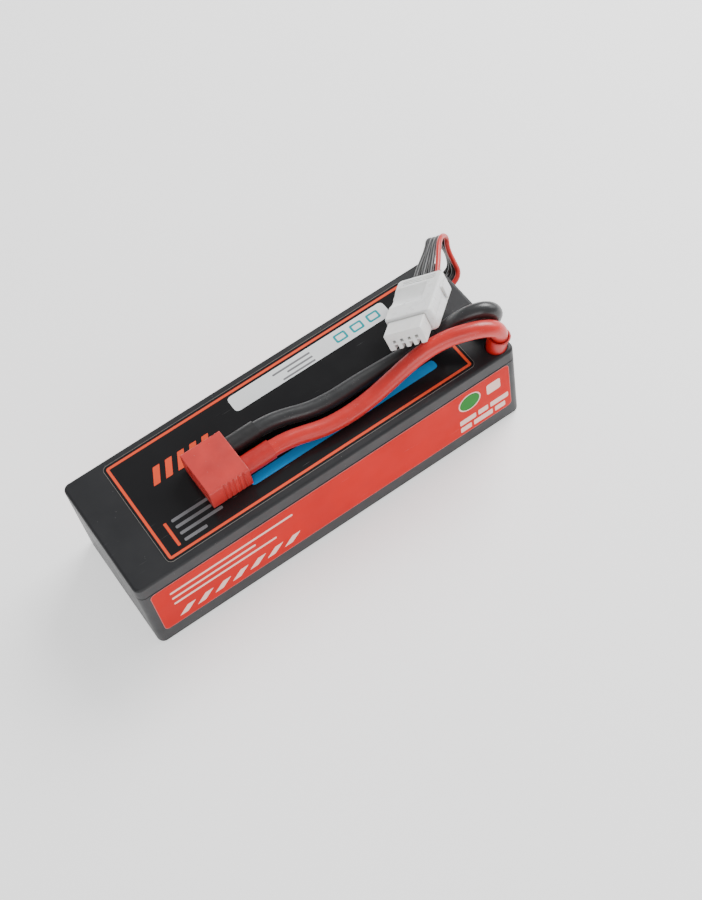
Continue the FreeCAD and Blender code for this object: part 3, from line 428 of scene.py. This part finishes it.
def rounded_box_distance(finish, across, along, half, radius):
    """Signed distance to a rounded rectangle centred on the label, in metres."""
    past = []
    for value, reach in ((across, half[0]), (along, half[1])):
        past.append(finish.calc("SUBTRACT", finish.calc("ABSOLUTE", value), reach - radius))
    outside = [finish.calc("MAXIMUM", item, 0.0) for item in past]
    squares = [finish.calc("MULTIPLY", item, item) for item in outside]
    corner = finish.calc("SQRT", finish.calc("ADD", *squares))
    inside = finish.calc("MINIMUM", finish.calc("MAXIMUM", *past), 0.0)
    return finish.calc("SUBTRACT", finish.calc("ADD", corner, inside), radius)


def printed_film(name, node, plane, colour, gloss, shine, border=None):
    """Glossy printed film, with a fine border line, a pale cut edge and small scratches."""
    low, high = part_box(node)
    centre = (low + high) / 2
    finish = Finish(name)
    axes = finish.axes()
    across = finish.calc("SUBTRACT", axes[plane[0]], centre[plane[0]])
    along = finish.calc("SUBTRACT", axes[plane[1]], centre[plane[1]])
    half = [(high[i] - low[i]) / 2 for i in plane]
    distance = rounded_box_distance(finish, across, along, half, LABEL_CORNER)
    cloud = finish.remap(finish.noise(22.0, 3.0), 0.3, 0.7)
    tone = finish.blend(cloud, scaled(colour, 0.9), scaled(colour, 1.08))
    dots = finish.remap(finish.specks(0.32), 0.2, 0.45, 0.0, 0.07)
    tone = finish.blend(dots, tone, scaled(colour, 0.6))
    if border:
        middle = finish.calc("ADD", distance, border["inset"] + border["width"] / 2)
        line = finish.calc("ABSOLUTE", middle)
        line = finish.remap(line, border["width"] * 0.46, border["width"] * 0.54, 1.0, 0.0)
        tone = finish.blend(line, tone, border["colour"])
    cut = finish.remap(distance, -0.00016, -0.00006)
    tone = finish.blend(finish.calc("MULTIPLY", cut, 0.35), tone, (0.7, 0.66, 0.62))
    hair = finish.streaks(0.35, (0.03, 1.0, 1.0))
    rubbed = finish.calc("MULTIPLY", hair, finish.remap(finish.noise(18.0), 0.48, 0.6))
    tone = finish.blend(finish.calc("MULTIPLY", rubbed, 0.25), tone, (0.6, 0.6, 0.6))
    finish.bump(finish.noise(11.0, 2.0), 0.05)
    finish.bump(finish.noise(0.5, 2.0), 0.0016)
    rough = finish.remap(finish.noise(7.0, 4.0), 0.3, 0.7, gloss - 0.06, gloss + 0.06)
    rough = finish.calc("ADD", rough, finish.calc("MULTIPLY", rubbed, 0.3))
    return finish.done(
        Base_Color=tone,
        Roughness=rough,
        Specular_IOR_Level=shine,
        Coat_Weight=shine * 0.5,
        Coat_Roughness=0.1,
    )


def ink(name, colour, shine=0.2):
    """Flat printed ink under the film's gloss, with the screen's faint dots."""
    finish = Finish(name)
    dots = finish.remap(finish.specks(0.3), 0.2, 0.45, 0.0, 0.25)
    tone = finish.blend(dots, colour, scaled(colour, 0.82))
    worn = finish.remap(finish.noise(6.0), 0.4, 0.7, 0.0, 0.2)
    tone = finish.blend(worn, tone, scaled(colour, 1.12))
    finish.bump(finish.noise(0.5, 2.0), 0.002)
    rough = finish.remap(finish.noise(4.0, 4.0), 0.3, 0.7, 0.14, 0.26)
    return finish.done(Base_Color=tone, Roughness=rough, Specular_IOR_Level=shine)


def case_plastic():
    """Satin black shell: spark-eroded grain, rubbed edges and a dark line along the seam."""
    finish = Finish("case_plastic")
    near_edge = finish.soften(0.35)
    colour = (0.021, 0.0215, 0.0235)
    cloud = finish.remap(finish.noise(26.0, 4.0), 0.3, 0.7)
    tone = finish.blend(cloud, scaled(colour, 0.85), scaled(colour, 1.2))
    rubbed = finish.calc("MULTIPLY", near_edge, finish.remap(finish.noise(2.4), 0.4, 0.66))
    tone = finish.blend(finish.calc("MULTIPLY", rubbed, 0.55), tone, (0.12, 0.12, 0.125))
    scuffs = finish.streaks(0.4, (0.04, 1.0, 0.7))
    patchy = finish.calc("MULTIPLY", scuffs, finish.remap(finish.noise(20.0), 0.5, 0.6))
    tone = finish.blend(finish.calc("MULTIPLY", patchy, 0.35), tone, (0.16, 0.16, 0.16))
    dust = finish.remap(finish.specks(2.4), 0.055, 0.02, 0.0, 0.3)
    tone = finish.blend(dust, tone, (0.5, 0.5, 0.48))
    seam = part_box("case_tub")[1].z
    away = finish.calc("ABSOLUTE", finish.calc("SUBTRACT", finish.axes()[2], seam))
    groove = finish.remap(away, 0.00022, 0.00008)
    tone = finish.blend(groove, tone, (0.004, 0.004, 0.004))
    finish.bump(finish.noise(0.22, 3.0), 0.017)
    finish.bump(finish.noise(30.0, 1.0), 0.16)
    finish.bump(patchy, -0.01)
    rough = finish.remap(finish.noise(6.0, 5.0), 0.25, 0.75, 0.36, 0.5)
    rough = finish.calc("ADD", rough, finish.calc("MULTIPLY", groove, 0.4))
    return finish.done(Base_Color=tone, Roughness=rough, Specular_IOR_Level=0.3)


def circuit_board():
    """Green solder mask with copper tracks showing through it."""
    finish = Finish("board_green")
    finish.soften(0.1)
    axes = finish.axes()
    wave = finish.calc("SINE", finish.calc("MULTIPLY", axes[2], 900.0))
    step = finish.calc("SINE", finish.calc("MULTIPLY", axes[1], 310.0))
    tracks = finish.remap(finish.calc("ADD", wave, step), 0.55, 0.7)
    tone = finish.blend(tracks, (0.012, 0.1, 0.045), (0.03, 0.2, 0.08))
    finish.bump(tracks, 0.03)
    finish.bump(finish.cracks(0.6), 0.004)
    rough = finish.remap(finish.noise(2.0, 3.0), 0.3, 0.7, 0.24, 0.4)
    return finish.done(Base_Color=tone, Roughness=rough, Coat_Weight=0.3)


def foil():
    """Laminated foil of a pouch cell: soft dents and creases."""
    finish = Finish("cell_foil")
    creases = finish.remap(finish.cracks(9.0), 0.05, 0.0)
    tone = finish.blend(finish.noise(12.0), (0.6, 0.61, 0.63), (0.76, 0.77, 0.79))
    finish.bump(creases, 0.08)
    finish.bump(finish.noise(4.0, 3.0), 0.12)
    rough = finish.remap(finish.noise(3.0, 4.0), 0.3, 0.7, 0.28, 0.45)
    return finish.done(Base_Color=tone, Roughness=rough, Metallic=0.9)


def floor_finish():
    finish = Finish("studio_floor")
    tone = finish.blend(finish.noise(90.0, 3.0), (0.86, 0.86, 0.86), (0.9, 0.9, 0.9))
    finish.bump(finish.noise(1.2, 2.0), 0.01)
    return finish.done(
        Base_Color=tone,
        Roughness=0.75,
        Emission_Color=(1.0, 1.0, 1.0),
        Emission_Strength=0.8,
    )


RED_SILICONE = (0.6, 0.018, 0.014)
BLACK_SILICONE = (0.022, 0.0225, 0.024)


def paint_nodes():
    """Give every CAD node that stays in view, or inside the case, its finish."""
    case = case_plastic()
    milk = milky("guard_plastic", (0.88, 0.89, 0.88), 0.3)
    tinned = metal("tinned_metal", (0.72, 0.72, 0.71), 0.28)
    gold = metal("gold_plate", (0.86, 0.62, 0.24), 0.2, (1.0, 0.2, 1.0))
    nickel = metal("nickel_tab", (0.62, 0.59, 0.54), 0.3, (0.2, 1.0, 1.0))
    aluminium = metal("aluminium_tab", (0.8, 0.8, 0.81), 0.3, (0.2, 1.0, 1.0))
    pouch = foil()
    sponge = moulded("foam", (0.05, 0.05, 0.055), 0.85, grain=0.5, depth=0.2)
    tape = moulded("tape", (0.8, 0.78, 0.7), 0.6, grain=0.3, depth=0.02)
    chosen = {
        "case_tub": case,
        "case_lid": case,
        "balance_plug": milky("plug_nylon", (0.88, 0.88, 0.86), 0.34),
        "guard_base": milk,
        "guard_cover": milk,
        "balance_contacts": tinned,
        "balance_grommet": moulded("grommet_rubber", (0.02, 0.02, 0.021), 0.55, 0.2, 0.02),
        "main_connector": moulded(
            "connector_nylon",
            (0.6, 0.035, 0.03),
            0.42,
            grain=0.3,
            depth=0.02,
            edge=0.3,
            wear=(0.8, 0.25, 0.22),
        ),
        "positive_contact": gold,
        "negative_contact": gold,
        "end_board": circuit_board(),
        "foam_pad_top": sponge,
        "foam_pad_bottom": sponge,
    }
    for name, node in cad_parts.items():
        finish = chosen.get(name)
        if finish is None:
            if name.endswith("_positive_tab"):
                finish = aluminium
            elif name.endswith("_negative_tab"):
                finish = nickel
            elif name.startswith("cell_tape"):
                finish = tape
            elif name.startswith("cell_"):
                finish = pouch
            elif "core" in name or "solder" in name or "tips" in name:
                finish = tinned
        if finish:
            assign(node, finish)


def paint_labels():
    settings = bpy.context.scene.pack_labels
    border = {
        "inset": settings.border_inset,
        "width": settings.border_width,
        "colour": (0.85, 0.09, 0.035),
    }
    dark = (0.012, 0.012, 0.013)
    black = printed_film("black_film", "top_label", (0, 1), dark, 0.18, 0.2, border)
    assign(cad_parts["top_label"], black)
    for side in ("near", "far"):
        node = f"side_label_{side}"
        scarlet = (0.62, 0.006, 0.003)
        red = printed_film(f"red_film_{side}", node, (0, 2), scarlet, 0.4, 0.06)
        assign(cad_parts[node], red)


def assign(obj, material):
    if not obj.data.materials:
        obj.data.materials.append(material)
    for index in range(len(obj.data.materials)):
        obj.data.materials[index] = material


# ------------------------------------------------------------------ geometry


def anchor():
    """The middle of the top edge at the lead end."""
    low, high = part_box("case_lid")
    return Vector((high.x, 0.0, high.z))


def in_pack(point):
    return anchor() + Vector(point) * MM


def guard_frame():
    """Turn and place of the plug guard."""
    yaw, pitch, roll = (math.radians(angle) for angle in GUARD_TURN)
    turn = Matrix.Rotation(yaw, 4, "Z") @ Matrix.Rotation(pitch, 4, "Y")
    turn = turn @ Matrix.Rotation(roll, 4, "X")
    return Matrix.Translation(in_pack(GUARD_OFFSET)) @ turn


def add_object(name, data):
    obj = bpy.data.objects.new(name, data)
    bpy.context.scene.collection.objects.link(obj)
    return obj


def smooth_curve(name, points, radius=0.0):
    """A smooth line with the given control points, thick if it has a radius."""
    data = bpy.data.curves.new(name, "CURVE")
    data.dimensions = "3D"
    data.resolution_u = 14
    data.bevel_depth = radius
    data.bevel_resolution = 10
    data.use_fill_caps = True
    spline = data.splines.new("NURBS")
    spline.points.add(len(points) - 1)
    for item, point in zip(spline.points, points):
        item.co = (*point, 1.0)
    spline.order_u = 3
    spline.use_endpoint_u = True
    return add_object(name, data)


def line_points(points):
    """Points along the same smooth line, read from its spline."""
    plain = smooth_curve("route", points)
    data = bpy.data.meshes.new_from_object(plain)
    found = [vertex.co.copy() for vertex in data.vertices]
    bpy.data.meshes.remove(data)
    bpy.data.objects.remove(plain)
    return found


def line_length(points):
    return sum((b - a).length for a, b in zip(points, points[1:]))


def stretch_of(points, start, end, step):
    """Evenly spaced places and directions between two distances along a line."""
    count = max(2, round((end - start) / step))
    wanted = [start + (end - start) * i / count for i in range(count + 1)]
    places = []
    passed = 0.0
    for a, b in zip(points, points[1:]):
        length = (b - a).length
        while wanted and wanted[0] <= passed + length + 1e-9:
            part = (wanted.pop(0) - passed) / max(length, 1e-9)
            places.append((a.lerp(b, part), (b - a).normalized()))
        passed += length
    return places


def wobble(seed, x):
    """A smooth made-up waviness between -1 and 1."""
    return math.sin(x * 2.1 + seed) * 0.6 + math.sin(x * 5.3 + seed * 2.7) * 0.4


def sleeve(name, points, start, end, bore, wall, flare, seed):
    """A tube of shrink sleeve along a line, with a rolled lip and slightly uneven walls."""
    places = stretch_of(points, start, end, 0.00035)
    sides = 48
    mesh = bmesh.new()
    side = Vector((0.0, 1.0, 0.0))
    rings = []
    last = len(places) - 1
    for index, (place, along) in enumerate(places):
        side = (side - along * side.dot(along)).normalized()
        up = along.cross(side)
        far = index / last
        lip = max(0.0, (far - 0.8) / 0.2)
        inner = bore + flare * lip ** 2
        outer = bore + wall * (1 - 0.25 * lip) + flare * lip ** 2
        rings.append((place, side, up, inner, outer, far))
    profile = [(ring, False) for ring in rings] + [(ring, True) for ring in reversed(rings)]
    loops = []
    for (place, side, up, inner, outer, far), is_inner in profile:
        loop = []
        for i in range(sides):
            angle = math.tau * i / sides
            uneven = 1 + 0.006 * wobble(seed + far * 4, angle)
            radius = inner if is_inner else outer * uneven
            direction = side * math.cos(angle) + up * math.sin(angle)
            loop.append(mesh.verts.new(place + direction * radius))
        loops.append(loop)
    for a, b in zip(loops, loops[1:] + loops[:1]):
        for i in range(sides):
            j = (i + 1) % sides
            mesh.faces.new((a[i], a[j], b[j], b[i]))
    bmesh.ops.recalc_face_normals(mesh, faces=mesh.faces)
    for face in mesh.faces:
        face.smooth = True
    data = bpy.data.meshes.new(name)
    mesh.to_mesh(data)
    mesh.free()
    return add_object(name, data)


def finished_piece(obj, material, slot, *nodes):
    """Paint a piece, tie it to the pack and let it stand for its CAD nodes."""
    if material:
        obj.data.materials.append(material)
    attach(obj, "pack")
    if nodes:
        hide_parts(*nodes)
    return obj


# ------------------------------------------------------------------ cables


def build_lead(pole, colour, red):
    settings = bpy.context.scene.pack_cables
    points = [in_pack(point) for point in LEAD_ROUTES[pole]]
    line = line_points(points)
    radius = settings.lead_diameter / 2
    lead = smooth_curve(f"{pole}_lead_insulation", points, radius)
    slot = "red_silicone" if red else "black_silicone"
    finished_piece(lead, silicone(f"{slot}_lead", colour), slot, f"{pole}_lead")
    tint = (0.5, 0.014, 0.012) if red else (0.016, 0.016, 0.017)
    rubber = shrunk(f"{pole}_sleeve_rubber", tint)
    slot = "red_sleeve" if red else "black_sleeve"
    collar = sleeve(
        f"{pole}_lead_collar",
        line,
        start=SLEEVE_START,
        end=settings.sleeve_height,
        bore=radius + SLEEVE_SLACK,
        wall=settings.sleeve_wall,
        flare=SLEEVE_FLARE,
        seed=SLEEVE_WAVE,
    )
    finished_piece(collar, rubber, slot, f"{pole}_exit_sleeve")
    assign(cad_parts[f"{pole}_shrink_tube"], rubber)


def ribbon_points(index):
    """Control points of one wire, set to one side of the ribbon's middle line."""
    guard = guard_frame()
    middle = [(in_pack(place), Vector(side), gap * MM) for place, side, gap in RIBBON]
    across = guard.to_3x3() @ Vector((1.0, 0.0, 0.0))
    for place in RIBBON_IN_GUARD:
        middle.append((guard @ (Vector(place) * MM), across, PLUG_PITCH * MM))
    points = []
    for i, (place, side, gap) in enumerate(middle):
        along = middle[min(i + 1, len(middle) - 1)][0] - middle[max(i - 1, 0)][0]
        along.normalize()
        side = (side - along * side.dot(along)).normalized()
        points.append(place + side * gap * (index - 1.5))
    return points


def build_balance_lead():
    settings = bpy.context.scene.pack_cables
    black = silicone("black_silicone_wire", BLACK_SILICONE)
    red = silicone("red_silicone_wire", RED_SILICONE)
    for index, name in enumerate(WIRES):
        points = ribbon_points(index)
        wire = smooth_curve(f"{name}_insulation", points, settings.wire_diameter / 2)
        is_red = name == "balance_wire_positive"
        slot = "red_silicone" if is_red else "black_silicone"
        finished_piece(wire, red if is_red else black, slot, name)
        line_length(line_points(points))


# ------------------------------------------------------------------ printing


def round_corners(outline, radius, steps=5):
    """Replace each corner by a short curve."""
    rounded = []
    count = len(outline)
    for i in range(count):
        here = Vector(outline[i])
        before = Vector(outline[i - 1]) - here
        after = Vector(outline[(i + 1) % count]) - here
        reach = min(radius, before.length * 0.45, after.length * 0.45)
        start = here + before.normalized() * reach
        end = here + after.normalized() * reach
        for step in range(steps + 1):
            t = step / steps
            point = start * (1 - t) ** 2 + here * 2 * t * (1 - t) + end * t ** 2
            rounded.append(tuple(point))
    return rounded


def bar(x0, y0, x1, y1):
    return [(x0, y0), (x1, y0), (x1, y1), (x0, y1)]


def disc(x, y, radius, steps=48):
    turns = [math.tau * i / steps for i in range(steps)]
    return [(x + radius * math.cos(a), y + radius * math.sin(a)) for a in turns]


class Print:
    """Flat printed shapes on one label, in layers of ink."""

    def __init__(self, name, to_pack):
        self.name = name
        self.to_pack = to_pack
        self.mesh = bmesh.new()
        self.inks = []

    def shape(self, outline, material, layer, corner=0.0):
        if corner:
            outline = round_corners(outline, corner)
        if material not in self.inks:
            self.inks.append(material)
        vertices = [self.mesh.verts.new(self.to_pack(x, y, layer)) for x, y in outline]
        face = self.mesh.faces.new(vertices)
        face.normal_update()
        face.material_index = self.inks.index(material)
        bmesh.ops.triangulate(self.mesh, faces=[face])

    def finish(self, outwards):
        self.mesh.normal_update()
        wrong = [face for face in self.mesh.faces if face.normal.dot(outwards) < 0]
        bmesh.ops.reverse_faces(self.mesh, faces=wrong)
        data = bpy.data.meshes.new(self.name)
        self.mesh.to_mesh(data)
        self.mesh.free()
        for material in self.inks:
            data.materials.append(material)
        obj = add_object(self.name, data)
        return finished_piece(obj, None, "black_film" if "top" in self.name else "red_film")


def print_top_label():
    """A plain blue band, a white panel with cell marks, and rows of plain bars."""
    lift = bpy.context.scene.pack_labels.ink_lift
    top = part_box("top_label")[1].z
    blue = ink("blue_ink", (0.02, 0.3, 0.72))
    white = ink("white_ink", (0.82, 0.84, 0.85))
    teal = ink("teal_ink", (0.01, 0.32, 0.36))
    orange = ink("orange_ink", (0.85, 0.09, 0.035))
    grey = ink("grey_ink", (0.2, 0.2, 0.21))
    sheet = Print("top_label_print", lambda x, y, layer: (x * MM, y * MM, top + lift * layer))
    sheet.shape(bar(-22.0, -13.8, 46.4, -10.4), blue, 1, 1.4)
    panel = bar(-12.0, 11.6, 46.6, 17.9)
    sheet.shape(panel, white, 1, 1.6)
    for index in range(3):
        x = 43.6 - index * 6.2
        sheet.shape(bar(x - 4.4, 13.1, x, 16.4), teal, 2, 0.7)
        sheet.shape(bar(x - 3.7, 13.8, x - 0.7, 15.7), white, 3, 0.4)
    for index, width in enumerate((14.0, 9.5, 12.0)):
        y = 16.3 - index * 1.7
        sheet.shape(bar(18.0 - width, y - 0.7, 18.0, y), grey, 2, 0.3)
    for index, length in enumerate((17.0, 12.5, 15.0, 8.0)):
        y = -8.2 - index * 2.6
        sheet.shape(bar(-48.0, y - 1.1, -48.0 + length, y), grey, 1, 0.5)
    sheet.shape(bar(-50.6, -17.2, -49.6, -8.0), orange, 1, 0.3)
    for index in range(5):
        x = -46.0 + index * 4.4
        sheet.shape([(x, 5.0), (x + 2.4, 5.0), (x + 5.4, 11.0), (x + 3.0, 11.0)], orange, 1, 0.3)
    sheet.finish(Vector((0.0, 0.0, 1.0)))


def print_side_label(node, side):
    """A plain dot, a plain square, and rows of plain bars."""
    lift = bpy.context.scene.pack_labels.ink_lift
    low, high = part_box(node)
    face = low.y if side < 0 else high.y
    place = node.removeprefix("side_label_")
    pale = ink(f"pale_ink_{place}", (0.95, 0.62, 0.55), 0.06)
    green = ink(f"green_ink_{place}", (0.012, 0.2, 0.02), 0.06)
    sheet = Print(
        f"{node}_print", lambda x, y, layer: (-side * x * MM, face + side * lift * layer, y * MM)
    )
    sheet.shape(disc(50.4, 22.4, 4.2), pale, 1)
    sheet.shape(disc(50.4, 22.4, 3.75), green, 2)
    sheet.shape(bar(57.0, 19.8, 62.2, 25.0), pale, 1, 0.9)
    rows = ((46.0, (6.2, 3.8, 7.0)), (46.0, (4.2, 7.4, 4.0)))
    for row, (x, widths) in enumerate(rows):
        y = 13.4 - row * 3.9
        for width in widths:
            sheet.shape(bar(x, y - 1.3, x + width, y + 1.3), pale, 1, 0.5)
            x += width + 0.9
    for index in range(7):
        x = -60.0 + index * 6.4
        sheet.shape([(x, 9.4), (x + 3.0, 9.4), (x + 6.6, 13.0), (x + 3.6, 13.0)], pale, 1, 0.3)
    for index, length in enumerate((44.0, 30.0, 37.0)):
        y = 24.6 - index * 3.2
        sheet.shape(bar(-60.0, y - 1.0, -60.0 + length, y), pale, 1, 0.5)
    sheet.finish(Vector((0.0, float(side), 0.0)))


# ------------------------------------------------------------------ stage


def aim(obj, target):
    direction = Vector(target) - obj.location
    obj.rotation_euler = direction.to_track_quat("-Z", "Y").to_euler()


def soft_light(name, place, target, size, power, colour=(1.0, 1.0, 1.0)):
    data = bpy.data.lights.new(name, "AREA")
    data.shape = "RECTANGLE"
    data.size, data.size_y = size
    data.energy = power
    data.color = colour
    lamp = add_object(name, data)
    lamp.location = place
    aim(lamp, target)
    return lamp


def build_stage():
    settings = bpy.context.scene.pack_stage
    mesh = bmesh.new()
    bmesh.ops.create_circle(mesh, cap_ends=True, segments=settings.floor_corners, radius=3.0)
    data = bpy.data.meshes.new("studio_floor")
    mesh.to_mesh(data)
    mesh.free()
    floor = add_object("studio_floor", data)
    floor.data.materials.append(floor_finish())
    world = bpy.data.worlds.new("studio")
    world.use_nodes = True
    background = world.node_tree.nodes["Background"]
    background.inputs["Color"].default_value = (1.0, 1.0, 1.0, 1.0)
    background.inputs["Strength"].default_value = settings.sky
    bpy.context.scene.world = world
    middle = (0.0, 0.0, 0.03)
    soft_light("key", (0.6, 0.26, 0.6), middle, (0.5, 0.45), settings.key_power)
    soft_light("fill", (-0.3, -0.6, 0.35), middle, (0.6, 0.4), settings.fill_power)
    soft_light("side", (0.6, -0.1, 0.35), middle, (0.3, 0.3), settings.fill_power * 0.5)


def build_camera():
    data = bpy.data.cameras.new("camera")
    data.lens = 66.99
    data.sensor_width = 36.0
    camera = add_object("camera", data)
    right = Vector((0.8211, -0.5568, -0.1253))
    up = Vector((0.5335, 0.6707, 0.5153))
    back = Vector((-0.2028, -0.49, 0.8478))
    turn = Matrix((right, up, back)).transposed().to_4x4()
    camera.matrix_world = Matrix.Translation((-0.09385, -0.26833, 0.46178)) @ turn
    bpy.context.scene.camera = camera


# ------------------------------------------------------------------ operators


class PACK_OT_camera(bpy.types.Operator):
    """Add the camera"""

    bl_idname = "pack.camera"
    bl_label = "Camera"

    def execute(self, context):
        build_camera()
        return {"FINISHED"}


class PACK_OT_power_leads(bpy.types.Operator):
    """Build the two power leads with their sleeves"""

    bl_idname = "pack.power_leads"
    bl_label = "Power leads"

    def execute(self, context):
        build_lead("positive", RED_SILICONE, True)
        build_lead("negative", BLACK_SILICONE, False)
        return {"FINISHED"}


class PACK_OT_balance_lead(bpy.types.Operator):
    """Build the four wires of the balance lead"""

    bl_idname = "pack.balance_lead"
    bl_label = "Balance lead"

    def execute(self, context):
        build_balance_lead()
        return {"FINISHED"}


class PACK_OT_finishes(bpy.types.Operator):
    """Give the case, the plug, the connector and the inner pieces their finishes"""

    bl_idname = "pack.finishes"
    bl_label = "Finishes"

    def execute(self, context):
        paint_nodes()
        return {"FINISHED"}


class PACK_OT_labels(bpy.types.Operator):
    """Give the labels their film and print"""

    bl_idname = "pack.labels"
    bl_label = "Labels"

    def execute(self, context):
        paint_labels()
        print_top_label()
        print_side_label("side_label_near", -1)
        print_side_label("side_label_far", 1)
        return {"FINISHED"}


class PACK_OT_stage(bpy.types.Operator):
    """Add the floor, the surroundings and the lights"""

    bl_idname = "pack.stage"
    bl_label = "Stage"

    def execute(self, context):
        build_stage()
        return {"FINISHED"}


class PACK_PT_panel(bpy.types.Panel):
    """Sizes and build steps of the battery pack"""

    bl_idname = "PACK_PT_panel"
    bl_label = "Battery pack"
    bl_space_type = "VIEW_3D"
    bl_region_type = "UI"
    bl_category = "Battery pack"

    def draw(self, context):
        groups = (context.scene.pack_cables, context.scene.pack_labels, context.scene.pack_stage)
        for group in groups:
            box = self.layout.box()
            for name in group.__annotations__:
                box.prop(group, name)
        for step in STEPS:
            self.layout.operator(f"pack.{step}")


STEPS = ["camera", "power_leads", "balance_lead", "finishes", "labels", "stage"]
CLASSES = [
    CableSettings,
    LabelSettings,
    StageSettings,
    PACK_OT_camera,
    PACK_OT_power_leads,
    PACK_OT_balance_lead,
    PACK_OT_finishes,
    PACK_OT_labels,
    PACK_OT_stage,
    PACK_PT_panel,
]


def register():
    for item in CLASSES:
        bpy.utils.register_class(item)
    bpy.types.Scene.pack_cables = PointerProperty(type=CableSettings)
    bpy.types.Scene.pack_labels = PointerProperty(type=LabelSettings)
    bpy.types.Scene.pack_stage = PointerProperty(type=StageSettings)


def unregister():
    del bpy.types.Scene.pack_stage
    del bpy.types.Scene.pack_labels
    del bpy.types.Scene.pack_cables
    for item in reversed(CLASSES):
        bpy.utils.unregister_class(item)


def main():
    register()
    for step in STEPS:
        getattr(bpy.ops.pack, step)()


if __name__ == "__main__":
    main()
